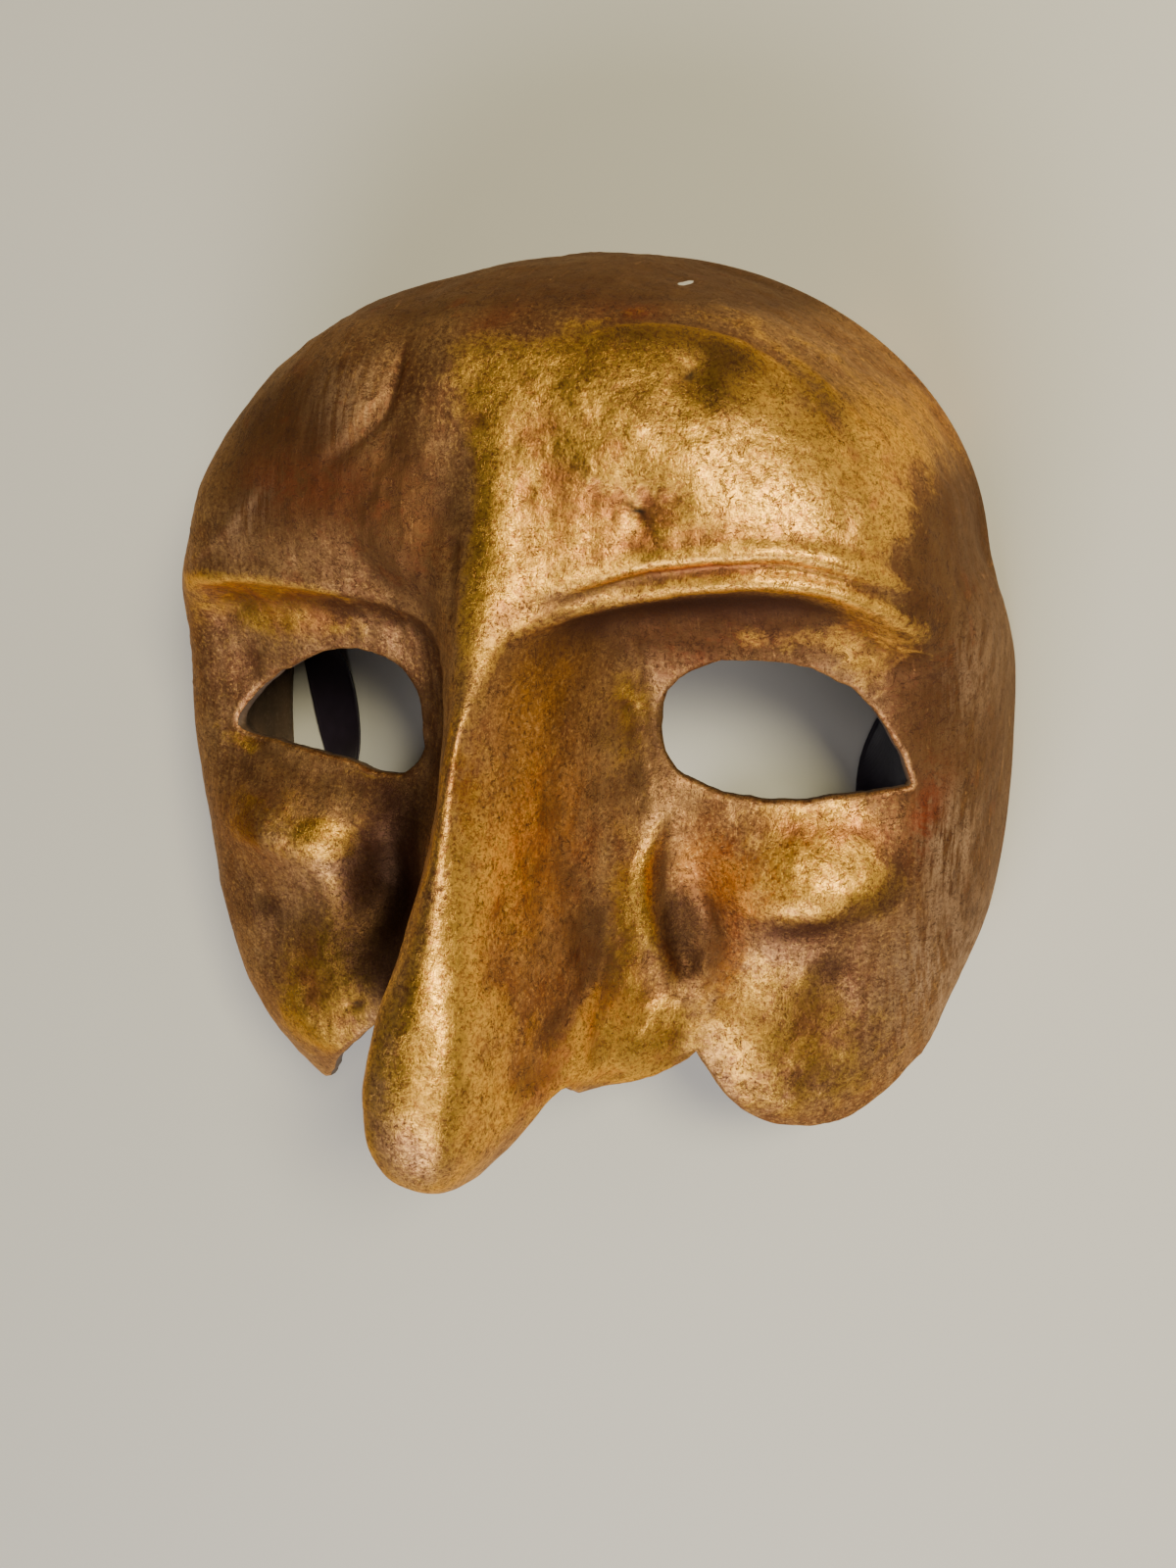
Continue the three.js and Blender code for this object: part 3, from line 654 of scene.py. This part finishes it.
def lumpy(points, size, seed, octaves=2):
    """Smooth noise from about -1 to 1 at each point, with lumps of a size in millimetres."""
    shift = Vector((17.3 * seed, 9.1 * seed, 5.7 * seed))
    flat = np.asarray(points, float).reshape(-1, 3) / size
    values = [noise.fractal(Vector(p) + shift, 0.8, 2.1, octaves) for p in flat]
    return np.array(values).reshape(np.shape(points)[:-1])


def fine_relief(x, y, points):
    """Height of the creases, lumps and wrinkles of the hand-smoothed paper."""
    height = np.zeros(np.shape(x))
    for depth, half, knots in CREASES.values():
        distance, along = from_line(x, y, through(knots, 4))
        ends = smooth(0, 0.2, along) * (1 - smooth(0.8, 1, along))
        height += depth * np.exp(-((distance / half) ** 2)) * np.maximum(ends, 0.15)
    for form in LUMPS:
        height += swelling(x, y, form)
    for share, size, seed in OUTER_LUMPS:
        height += share * lumpy(points, size, seed)
    wrinkle = 1 - np.abs(lumpy(points * WRINKLE_STRETCH, WRINKLE_SIZE, 3, 3)) * WRINKLE_SHARPNESS
    wrinkled_here = smooth(-0.1, 0.4, lumpy(points, 30, 4))
    return height + WRINKLE_HEIGHT * np.clip(wrinkle, 0, 1) ** 3 * wrinkled_here


def nose_steepness(distance, row, height):
    """How steep the side of the nose is, from 0 where it is level to 1 where it is upright."""
    reach = SLOPE_REACH
    inner = np.maximum(distance - reach, 0)
    fall = nose_share(inner, row) - nose_share(distance + reach, row)
    slope = height * fall / (distance + reach - inner)
    return slope / np.hypot(1, slope)


def shell_point(across, row, inset=0.0, fine=False):
    """Points of the shell on its outer face or, with an inset, on its inner one."""
    outer = plain_face(across, row)
    point = plain_face(across, row, inset)
    distance = np.abs(outer[..., 0])
    share = nose_share(distance, row)
    climb = ridge_y(row + SLOPE_REACH) - ridge_y(row - SLOPE_REACH)
    rise = ridge_z(row + SLOPE_REACH) - ridge_z(row - SLOPE_REACH)
    ridge_wall = inset * THICKER_RIDGE / (np.hypot(climb, rise) + 1e-9)
    middle = plain_face(np.zeros_like(across), row, inset)
    height = ridge_z(row) - ridge_wall * climb - middle[..., 2]
    carving = broad_carving(outer[..., 0], outer[..., 1])
    if not inset:
        carving = carving + crest_relief(outer[..., 0], outer[..., 1])
    carving = carving * smooth(0, RIM_BLEND, outer[..., 2])
    point = point + plain_normal(across, row) * carving[..., None]
    if inset:
        pull = np.minimum(inset * nose_steepness(distance, row, height), 0.6 * distance)
        point[..., 0] -= np.sign(outer[..., 0]) * np.where(share > 0, pull, 0)
    point[..., 0] += tip_lean(row) * share
    point[..., 1] += (ridge_y(row) + ridge_wall * rise - middle[..., 1]) * share
    point[..., 2] += height * share
    return point


def on_paper(across, row):
    """Positive on the mask's paper, negative in the eye holes and past the cut edges."""
    point = shell_point(across, row)
    x, y, z = point[..., 0], point[..., 1], point[..., 2]
    a = np.abs(x)
    eye = np.where(x < 0, outside(a, y, EYE_LEFT), outside(a, y, EYE_RIGHT))
    side = z - side_cut(y)
    in_lobe = smooth(LOBE_FROM[0], LOBE_FROM[1], a)
    lobe = np.where(x < 0, lobe_left(a), lobe_right(a))
    under = y - (lobe * in_lobe + under_nose(z) * (1 - in_lobe))
    corner = np.where(x < 0, LOBE_CORNER["left"], LOBE_CORNER["right"])
    mix = np.clip(0.5 + 0.5 * (under - side) / corner, 0, 1)
    edge = under * (1 - mix) + side * mix - corner * mix * (1 - mix)
    waver = EDGE_WAVER * lumpy(point, 4, 7, 3) * smooth(2, 9, z)
    return np.minimum(np.minimum(eye, edge) + waver, z) - EDGE_ROUND


# The shell's mesh

def spaced(count, low, high, density):
    """Places between two ends, closer together where the density is higher."""
    even, bumps = density
    fine = np.linspace(low, high, 2001)
    middle = (fine[1:] + fine[:-1]) / 2
    weight = even + sum(more * np.exp(-(((middle - at) / half) ** 2)) for more, at, half in bumps)
    total = np.concatenate([[0], np.cumsum(weight)])
    return np.interp(np.linspace(0, total[-1], count + 1), total, fine)


def cut_between(u0, b0, u1, b1):
    """Where the paper ends between a point on it and a point off it."""
    low = np.zeros_like(u0)
    high = np.ones_like(u0)
    for _ in range(12):
        t = (low + high) / 2
        on = on_paper(u0 + (u1 - u0) * t, b0 + (b1 - b0) * t) > 0
        low = np.where(on, t, low)
        high = np.where(on, high, t)
    return low


def shell_grid():
    """Grid over the face whose points near a cut are moved onto it, and the paper's value at each."""
    half = spaced(CELLS_ACROSS // 2, 0, 1, DENSE_ACROSS)
    columns = np.concatenate([-half[:0:-1], half])
    u, b = np.meshgrid(columns, spaced(CELLS_UP, *ROWS, DENSE_UP))
    paper = on_paper(u, b)
    best = np.full(u.shape, 0.35)
    new_u, new_b, new_paper = u.copy(), b.copy(), paper.copy()
    rows, across = u.shape
    for di, dj in ((0, 1), (0, -1), (1, 0), (-1, 0)):
        i, j = np.mgrid[max(0, -di): rows - max(0, di), max(0, -dj): across - max(0, dj)]
        crosses = (paper[i, j] > 0) != (paper[i + di, j + dj] > 0)
        i, j = i[crosses], j[crosses]
        on = paper[i, j] > 0
        start = (np.where(on, i, i + di), np.where(on, j, j + dj))
        end = (np.where(on, i + di, i), np.where(on, j + dj, j))
        t = cut_between(u[start], b[start], u[end], b[end])
        share = np.where(on, t, 1 - t)
        near = share < best[i, j]
        i, j, t = i[near], j[near], t[near]
        start = (start[0][near], start[1][near])
        end = (end[0][near], end[1][near])
        best[i, j] = share[near]
        new_u[i, j] = u[start] + (u[end] - u[start]) * t
        new_b[i, j] = b[start] + (b[end] - b[start]) * t
        new_paper[i, j] = 0
    return new_u, new_b, new_paper


def clipped_faces(u, b, paper):
    """Faces of the grid cut off where the paper ends, and the drawing's places of their corners."""
    rows, across = u.shape
    flat_paper = paper.ravel()
    number = np.arange(u.size).reshape(u.shape)
    corners = [number[:-1, :-1], number[:-1, 1:], number[1:, 1:], number[1:, :-1]]
    quads = np.stack(corners, -1).reshape(-1, 4)
    values = flat_paper[quads]
    whole = quads[(values >= 0).all(1) & (values > 0).any(1)]
    mixed = quads[(values < 0).any(1) & (values > 0).any(1)]
    cuts = {}
    for quad in mixed:
        for p, q in zip(quad, np.roll(quad, -1)):
            if flat_paper[p] * flat_paper[q] < 0:
                cuts[(min(p, q), max(p, q))] = None
    pairs = np.array([(p, q) if flat_paper[p] > 0 else (q, p) for p, q in cuts])
    uf, bf = u.ravel(), b.ravel()
    on, off = pairs[:, 0], pairs[:, 1]
    t = cut_between(uf[on], bf[on], uf[off], bf[off])
    for k, pair in enumerate(cuts):
        cuts[pair] = u.size + k
    all_u = np.concatenate([uf, uf[on] + (uf[off] - uf[on]) * t])
    all_b = np.concatenate([bf, bf[on] + (bf[off] - bf[on]) * t])
    faces = [tuple(quad) for quad in whole]
    for quad in mixed:
        kept = []
        for p, q in zip(quad, np.roll(quad, -1)):
            if flat_paper[p] >= 0:
                kept.append(p)
            if flat_paper[p] * flat_paper[q] < 0:
                kept.append(cuts[(min(p, q), max(p, q))])
        if len(kept) > 4:
            faces.append(tuple(kept[:3]))
            faces.append((kept[0], *kept[2:]))
        elif len(kept) > 2:
            faces.append(tuple(kept))
    used = np.unique(np.concatenate([np.array(face) for face in faces]))
    renumber = np.full(len(all_u), -1)
    renumber[used] = np.arange(len(used))
    return [tuple(renumber[list(face)]) for face in faces], all_u[used], all_b[used]


def boundary_loops(faces):
    """Closed runs of the edges that only one face has, with the paper on their left."""
    edges = {(a, b) for face in faces for a, b in zip(face, face[1:] + face[:1])}
    following = {a: b for a, b in edges if (b, a) not in edges}
    loops = []
    while following:
        start, at = following.popitem()
        loop = [start]
        while at != start:
            loop.append(at)
            at = following.pop(at)
        loops.append(loop)
    return loops


def make_shell(gilding, lining):
    """The mask: outer face, inner face, and the rounded edge between them at each cut."""
    faces, u, b = clipped_faces(*shell_grid())
    count = len(u)
    plain = plain_face(u, b)
    x, y = plain[:, 0], plain[:, 1]
    outer = shell_point(u, b)
    at_rim = smooth(1, RIM_BLEND, outer[:, 2])
    normal = surface_normals(outer, faces)
    relief = fine_relief(x, y, outer) * at_rim
    outer = outer + normal * relief[:, None]
    inner = shell_point(u, b, WALL)
    rough = sum(share * lumpy(inner, size, seed) for share, size, seed in INNER_LUMPS)
    inner = inner - normal * (rough * smooth(0.5, 4, inner[:, 2]))[:, None]
    points = [outer, inner]
    all_faces = list(faces) + [tuple(i + count for i in face[::-1]) for face in faces]
    slots = [0] * len(faces) + [1] * len(faces)
    total = 2 * count
    for loop in boundary_loops(faces):
        top, bottom = outer[loop], inner[loop]
        tangent = unit(np.roll(top, -1, axis=0) - np.roll(top, 1, axis=0))
        off = unit(np.cross(tangent, top - bottom))
        size = len(loop)
        rings = [np.array(loop)]
        for k in range(1, EDGE_STRIPS):
            turn = math.pi * k / EDGE_STRIPS
            middle = (top + bottom) / 2 + (top - bottom) / 2 * math.cos(turn)
            points.append(middle + off * EDGE_ROUND * math.sin(turn))
            rings.append(np.arange(total, total + size))
            total += size
        rings.append(np.array(loop) + count)
        for k, (ring, after) in enumerate(zip(rings[:-1], rings[1:])):
            for p, q, r, s in zip(ring, np.roll(ring, -1), np.roll(after, -1), after):
                all_faces.append((q, p, s, r))
                slots.append(0 if k < EDGE_STRIPS // 2 else 1)
    points = np.vstack(points)
    points[:, 2] = np.maximum(points[:, 2], 0)
    shell = make_mesh("mask", to_row(points), all_faces, [gilding, lining], slots)
    for name, values in surface_values(x, y, outer, faces, normal).items():
        padded = np.zeros(len(points))
        padded[:count] = values
        add_values(shell, name, padded)
    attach(shell, "root")
    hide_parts("mask_shell")


def surface_normals(points, faces):
    """Normals of the points, from the faces around them."""
    normal = np.zeros_like(points)
    for size in (3, 4):
        some = np.array([face for face in faces if len(face) == size])
        p = points[some]
        cross = np.cross(p[:, 2] - p[:, 0], p[:, -1] - p[:, 1])
        for corner in range(size):
            np.add.at(normal, some[:, corner], cross)
    return unit(normal)


def hollowness(points, normal, faces, passes):
    """How far each point lies below the mean of its neighbours, smoothed over some passes."""
    pairs = np.array([(a, b) for face in faces for a, b in zip(face, face[1:] + face[:1])])
    both = np.vstack([pairs, pairs[:, ::-1]])
    number = np.maximum(np.bincount(both[:, 0], minlength=len(points)), 1)[:, None]
    mean = points
    for _ in range(passes):
        total = [np.bincount(both[:, 0], mean[both[:, 1], k], len(points)) for k in range(3)]
        mean = np.stack(total, axis=1) / number
    return ((mean - points) * normal).sum(1)


# Patches of the finish: strength, centre x and y, half width, half height, turn in degrees
PATCHES = {
    # gold rubbed on thickly; a negative strength keeps it away. Patches on the forehead, cheekbone,
    # nostril wing, nose ball and left cheek are painted highlight, and the one kept away left of the
    # forehead's middle is painted shade
    "gold_and_highlight": [
        (1.15, 28, 39, 27, 16, -6), (0.7, 52, 36, 10, 17, -12), (0.6, 20, 57, 15, 8, -6),
        (0.9, 2, 32, 6, 13, 0), (0.6, -4, 52, 8, 9, 0), (0.8, 24, 56, 13, 8, 0),
        (0.7, 12, 44, 12, 12, 0), (-2, -17, 32, 10, 16, 0), (1.2, 58, 14, 6, 8, 0),
        (0.8, 40, 14, 16, 3, 0), (0.7, 17, 2, 4, 9, 0), (0.55, 5, -22, 4, 20, 0),
        (0.9, 18.5, -32, 3, 14, 0), (1.5, 51, -19, 9, 6.5, 28), (0.9, 44, -52, 14, 14, 0),
        (0.5, 41, -15, 8, 4, 0), (1.8, 19, -54, 7, 8, 0), (1.0, 3, -42, 5, 10, 0),
        (-0.5, 0, -66, 8, 5, 0), (1.1, -42, 19, 24, 3, 0), (1.1, -48, 12, 18, 5, 0),
        (1.2, -60, -11, 4, 3, 0), (0.6, -33, -15, 7, 2, 0), (1.4, -39, -26, 4, 2.5, -20),
        (1.1, -43, -57, 10, 14, -20),
    ],
    # purple-brown patina; its patches beside the nose on the left and under the right brow are painted
    # shade
    "dark": [
        (0.9, 50, -31, 10, 2.6, 22), (0.8, 52, -40, 3.5, 4, 0), (0.7, 60, -23, 3, 7, -20),
        (0.6, 41, -33, 6, 4, 0), (0.5, 47, -62, 10, 4, 0), (3, -29, -34, 7, 15, -12),
        (0.8, -26, -50, 4, 6, 0), (0.8, 27, -40, 3, 7, 15), (1.2, 26, -35, 4, 8, 10),
        (0.7, 45, -50, 14, 10, 0), (0.6, -44, -48, 12, 12, 0), (0.5, 24, 56, 14, 6, 0),
        (0.7, 36, 19, 16, 5, 0), (0.55, -40, -17, 14, 4, 0), (0.6, 28, 20, 14, 3.2, 4),
        (0.8, 13, 16, 5, 5, 0), (0.8, 45, 21, 10, 2.5, -6), (0.8, 18, 63, 9, 2.5, 0),
        (0.7, 33, 60, 10, 2.5, -22), (0.7, 47, 53, 4, 8, 30), (0.6, 34, 52, 3, 8, 20),
        (0.5, 22, 52, 6, 2, -30), (0.5, 6, 44, 7, 1.5, 0), (0.7, -55, -43, 5, 3, 0),
    ],
    # red ground that shows through
    "red": [
        (1, 65, -14, 2, 8, -15), (0.8, 1.5, -2, 1.6, 9, 4), (0.6, -4, 64, 5, 2, 20),
        (0.8, 16, 66, 5, 1.6, 0), (0.5, -35, 38, 16, 5, 0), (0.4, -10, 27, 5, 6, 0),
        (0.8, -53, -26, 11, 9, 0), (0.6, 35, 29, 12, 1, 3), (0.5, 31, -44, 2, 5, 10),
        (0.4, 56, -42, 4, 3, 0), (0.4, 12, 60, 8, 3, 0),
    ],
    # orange-brown glaze; in the cheek pit it is a painted glow of light bounced up from below
    "amber_glaze_and_glow": [
        (1.6, 29.5, -25, 5, 6, 0), (0.9, 7, -15, 4, 28, 0), (0.8, 9, 12, 5, 10, 0),
        (0.6, 10, -50, 3, 10, 0), (0.6, 22, -58, 5, 4, 0), (0.5, 38, -28, 5, 6, 0),
    ],
    # matt brown sides and top, darkened as painted shade where they face away from the light; the patches
    # in the right brow's socket, in the valley left of the forehead's middle and on the left forehead are
    # painted shade too
    "matt_and_shade": [
        (1.3, 73, -20, 9, 50, 0), (1.1, 69, 35, 9, 18, 0), (1.6, 25, 74, 34, 8, 0),
        (1.2, -20, 70, 25, 7, 0), (1, -15, 32, 8, 16, 0), (1.6, 31, 16.5, 26, 7.5, 0),
        (1.1, 68, 5, 9, 26, 0), (0.5, -40, -14, 16, 5, 0), (1.2, -38, 42, 22, 22, 0),
        (0.9, -75, -40, 9, 40, 0),
    ],
    # deepest hollows, nearly black: painted shade, partly dark paint, beside the nose on the left, in the
    # cheek pit and under the right brow
    "deep_paint_and_shade": [
        (1, -29, -34, 6.5, 15, -12), (0.5, 27, -40, 2.5, 6, 15), (0.5, 28, 20.5, 13, 2.5, 4),
    ],
    # painted sheen: a greyish reflection painted on the sides
    "pale": [
        (0.9, 68, -18, 3.5, 8, 0), (1, 67, -45, 6, 18, 0), (0.5, 70, 10, 3, 10, 0),
        (0.7, -72, -35, 5, 20, 0), (0.4, -27, 52, 6, 8, 20), (0.4, -45, 32, 3, 8, -45),
    ],
    # small dents and cracks, and the chipped spot at the top
    "dent": [
        (1.4, 22.2, 37, 1.8, 0.6, -25), (1.4, 28, 57.4, 0.9, 0.7, 0), (0.8, 3, 46, 0.35, 1.1, 20),
        (0.9, -35.5, -57.6, 2, 0.5, -20),
    ],
    "chip": [
        (1, 19.2, 71.6, 0.75, 0.5, -15),
    ],
}


# smoothing passes that find small and broad hollows
SMALL_PASSES = 3
BROAD_PASSES = 30


def surface_values(x, y, outer, faces, normal):
    """What the gilding reads: patches of the finish, and how hollow or raised a place is."""
    small = hollowness(outer, normal, faces, SMALL_PASSES)
    broad = hollowness(outer, normal, faces, BROAD_PASSES)
    values = {
        "hollow": np.clip(small / 0.1, 0, 1) * 0.6 + np.clip(broad / 0.9, 0, 1) * 0.6,
        "worn": np.clip(-small / 0.12, 0, 1) * 0.6 + np.clip(-broad / 1.2, 0, 1) * 0.5,
    }
    for name, forms in PATCHES.items():
        values[name] = np.clip(sum(swelling(x, y, form) for form in forms), 0, 1)
    return values


def gilding_material():
    """Gold rubbed in patches over bronze and red-brown paint, with dark lines and a waxy patina; some
    patches are painted highlight, shade, sheen and glow.
    """
    made, shader, node, link = material("gilding")
    place = node("TexCoord").outputs["Object"]

    def value(name):
        return node("Attribute", attribute_name=name).outputs["Fac"]

    def plus(first, *others):
        for other in others:
            first = sums(node, "ADD", first, other)
        return first

    def times(first, second):
        return sums(node, "MULTIPLY", first, second)

    def most(first, second):
        return sums(node, "MAXIMUM", first, second, clamp=True)

    def grain(size, detail=3.0, stretch=(1, 1, 1), turn=(0, 0, 0), distortion=0.0, roughness=0.55):
        """Noise with lumps of a size in millimetres, stretched and turned."""
        moved = node("Mapping", {"Vector": place, "Rotation": turn, "Scale": stretch}).outputs[0]
        return node("TexNoise", {
            "Vector": moved, "Scale": 1 / (size * MM), "Detail": detail, "Distortion": distortion,
            "Roughness": roughness,
        }).outputs["Fac"]

    def threads(noise_value, width):
        """Thin wandering lines, where the noise passes its middle."""
        off = node("Math", {0: sums(node, "SUBTRACT", noise_value, 0.5)}, operation="ABSOLUTE").outputs[0]
        return sums(node, "SUBTRACT", 1.0, ramp(node, off, 0.0, width))

    clouds = grain(24, 4.0, roughness=0.6)
    mottle = grain(5, 6.0, distortion=0.5, roughness=0.7)
    flakes = grain(0.7, 4.0, roughness=0.75)
    sparkle = grain(0.35, 2.0, roughness=0.7)
    strokes = grain(1.0, 4.0, stretch=(1, 0.1, 0.1), turn=(0, 0, 0.1), roughness=0.7)
    hairs = grain(0.4, 2.0, stretch=(1, 0.22, 0.3), turn=(0, 0, 0.25))
    cross_hairs = grain(0.4, 2.0, stretch=(0.3, 1, 0.3), turn=(0, 0, -0.3))

    # brown and bronze paint under the gold, brushed downwards
    tone = plus(times(clouds, 0.8), times(mottle, 0.6), times(strokes, 0.4))
    base = blend(node, ramp(node, tone, 0.72, 1.12), paint("brown"), paint("bronze"))
    # orange-brown glaze, and in the cheek pit a painted glow of bounced light
    base = blend(node, times(value("amber_glaze_and_glow"), ramp(node, tone, 0.5, 1.1)), base, paint("amber_glaze_and_glow"))

    # matt sides and top, their colour darkened as painted shade, with greyish streaks
    matt_and_shade = times(value("matt_and_shade"), ramp(node, strokes, 0.15, 0.45))
    matt = blend(node, strokes, paint("matt_shade_dark"), paint("matt_shade_brown"))
    base = blend(node, times(matt_and_shade, 0.85), base, matt)
    # painted sheen: a greyish reflection painted on the sides
    pale = times(value("pale"), ramp(node, strokes, 0.36, 0.6))
    base = blend(node, times(pale, 0.8), base, paint("painted_grey_sheen"))

    # grain of the paint: dark pores, and flecks of gold
    pores = times(ramp(node, flakes, 0.50, 0.36), 0.65)
    base = blend(node, pores, base, paint("pore"))
    flecks = times(ramp(node, flakes, 0.53, 0.64), times(0.6, sums(node, "SUBTRACT", 1.0, matt_and_shade)))
    base = blend(node, flecks, base, paint("fleck"))

    # gold: a smooth coat that thins out towards its edges; some of its patches are painted highlight
    rubbed = plus(
        times(value("gold_and_highlight"), 0.95), times(value("worn"), 0.4), times(mottle, 1.1), times(flakes, 0.4),
        times(clouds, 0.5), times(value("matt_and_shade"), -0.5),
    )
    gold_and_highlight = ramp(node, rubbed, 1.2, 1.85)
    evenness = plus(times(mottle, 0.5), times(clouds, 0.5), times(value("worn"), 0.3))
    shine = ramp(node, evenness, 0.36, 0.60)
    tint = blend(node, shine, paint("old_gold"), paint("bright_gold"))
    tint = blend(node, times(ramp(node, flakes, 0.54, 0.38), 0.75), tint, paint("thin_gold"))
    base = blend(node, gold_and_highlight, base, tint)

    # red ground
    red = times(value("red"), ramp(node, mottle, 0.36, 0.56))
    stray_red = times(ramp(node, grain(8, 4.0, roughness=0.6), 0.60, 0.70), 0.3)
    red = most(red, stray_red)
    base = blend(node, times(red, 0.8), base, paint("red_ground"))

    # purple-brown patina in patches, hollows and stray blots; the patches beside the nose on the left and
    # under the right brow are painted shade
    stain = grain(2.6, 6.0, distortion=0.6, roughness=0.78)
    dark = times(value("dark"), ramp(node, plus(stain, times(value("dark"), 0.25)), 0.48, 0.6))
    stray_dark = times(ramp(node, grain(3.6, 8.0, distortion=0.4, roughness=0.8), 0.57, 0.61), 0.55)
    hollow = times(value("hollow"), ramp(node, flakes, 0.2, 0.55))
    dark = most(most(dark, stray_dark), times(hollow, 0.7))
    base = blend(node, times(dark, 0.85), base, paint("patina_and_shade"))

    # dark lines like dried paint, short hairs, and specks
    wander = threads(grain(2.4, 4.0, distortion=0.9, roughness=0.7), 0.035)
    wander = times(wander, ramp(node, stain, 0.44, 0.56))
    crackle = threads(grain(1.1, 3.0, distortion=0.8, roughness=0.7), 0.05)
    crackle = times(crackle, ramp(node, mottle, 0.44, 0.58))
    fibre = sums(node, "MINIMUM", hairs, cross_hairs)
    hair = sums(node, "SUBTRACT", 1.0, ramp(node, fibre, 0.28, 0.35))
    marks = most(most(wander, times(crackle, 0.55)), times(hair, 0.8))
    base = blend(node, times(marks, 0.85), base, paint("dried_line"))
    # painted shade, partly dark paint: nearly black in the deepest hollows
    base = blend(node, times(value("deep_paint_and_shade"), 0.9), base, paint("deep_paint_and_shade"))
    base = blend(node, value("dent"), base, paint("dent"))
    chip = ramp(node, value("chip"), 0.35, 0.5)
    base = blend(node, chip, base, paint("bare_ground"))
    link(base, "Base Color")

    # metallic paint nearly everywhere, least so where it is dull or stained
    metal = plus(0.85, times(gold_and_highlight, 0.15), times(matt_and_shade, -0.25), times(dark, -0.12), times(marks, -0.25))
    metal = plus(metal, times(chip, -1.0), times(value("dent"), -0.8))
    link(most(metal, 0.0), "Metallic")
    shader.inputs["Specular IOR Level"].default_value = 0.3
    shader.inputs["Specular Tint"].default_value = paint("glint")
    rough = plus(0.37, times(gold_and_highlight, -0.05), times(flakes, 0.10), times(marks, 0.15), times(matt_and_shade, 0.14))
    link(rough, "Roughness")

    # soft unevenness that breaks up the shine, then the grain of the paint
    coarse = plus(grain(6.5, 1.5, roughness=0.4), times(grain(2.2, 1.0), 0.22))
    under = node("Bump", {"Height": coarse, "Strength": 1.0, "Distance": 0.00075})
    fine = plus(times(flakes, 1.0), times(sparkle, 0.7), times(fibre, 0.7), times(marks, -0.5))
    bump = node("Bump", {
        "Height": fine, "Strength": 0.9, "Distance": 0.00006, "Normal": under.outputs["Normal"],
    })
    link(bump.outputs["Normal"], "Normal")
    return made


def lining_material():
    """Inside: paper painted a matt dark brown, thin over the strips."""
    made, shader, node, link = material("lining")
    place = node("TexCoord").outputs["Object"]
    clouds = node("TexNoise", {"Vector": place, "Scale": 90.0, "Detail": 6.0, "Roughness": 0.6})
    cloudy = clouds.outputs["Fac"]
    fibre = node("TexNoise", {"Vector": place, "Scale": 1400.0, "Detail": 3.0}).outputs["Fac"]
    cells = node("TexVoronoi", {"Vector": place, "Scale": 55.0}, feature="DISTANCE_TO_EDGE")
    strips = cells.outputs["Distance"]
    base = blend(node, ramp(node, cloudy, 0.35, 0.7), paint("lining_dark"), paint("lining"))
    fibres = sums(node, "MULTIPLY", ramp(node, fibre, 0.5, 0.75), 0.4)
    base = blend(node, fibres, base, paint("lining_fibre"))
    link(base, "Base Color")
    shader.inputs["Roughness"].default_value = 0.75
    height = sums(node, "ADD", sums(node, "MULTIPLY", fibre, 0.4), ramp(node, strips, 0.0, 0.05))
    bump = node("Bump", {"Height": height, "Strength": 0.5, "Distance": 0.0003})
    link(bump.outputs["Normal"], "Normal")
    return made


make_shell(gilding_material(), lining_material())


# Floor and light

FLOOR_REACH = 4.0
FLOOR_DROP = 0.0002
SKY_STRENGTH = 0.05
LIT_POINT = Vector((0, 0, 0.05))
# name, direction from the mask, distance, size, watts, tint
LIGHTS = [
    ("key", (0.45, 0.34, 0.83), 0.95, 0.2, 8.7, (1.0, 0.91, 0.58)),
    ("right_side", (0.7, 0.6, 0.6), 0.95, 0.4, 1.0, (1.0, 0.95, 0.88)),
    ("low", (0.0, -0.72, 0.69), 0.9, 0.6, 7.2, (1.0, 0.95, 0.9)),
]


def floor_material():
    """Plain pale floor, matt and nearly even."""
    made, shader, node, link = material("floor")
    place = node("TexCoord").outputs["Object"]
    cloudy = node("TexNoise", {"Vector": place, "Scale": 3.0, "Detail": 2.0}).outputs["Fac"]
    link(blend(node, cloudy, paint("floor_low"), paint("floor_high")), "Base Color")
    shader.inputs["Roughness"].default_value = 0.6
    return made


def make_floor():
    corners = [(x * FLOOR_REACH, y * FLOOR_REACH, 0) for x, y in ((-1, -1), (1, -1), (1, 1), (-1, 1))]
    floor = make_mesh("floor", corners, [(0, 1, 2, 3)], [floor_material()], smooth=False)
    floor.location.z = -FLOOR_DROP


def area_light(name, direction, distance, size, watts, tint):
    """A square soft light in a direction from the mask, turned towards it."""
    data = bpy.data.lights.new(name, "AREA")
    data.size = size
    data.energy = watts
    data.color = tint
    lamp = bpy.data.objects.new(name, data)
    bpy.context.scene.collection.objects.link(lamp)
    toward = Vector(direction).normalized()
    lamp.location = LIT_POINT + toward * distance
    lamp.rotation_mode = "QUATERNION"
    lamp.rotation_quaternion = toward.to_track_quat("Z", "Y")


def make_world():
    world = bpy.data.worlds.new("studio")
    world.use_nodes = True
    background = world.node_tree.nodes["Background"]
    background.inputs["Color"].default_value = paint("sky")
    background.inputs["Strength"].default_value = SKY_STRENGTH
    bpy.context.scene.world = world


make_floor()
make_world()
for light in LIGHTS:
    area_light(*light)
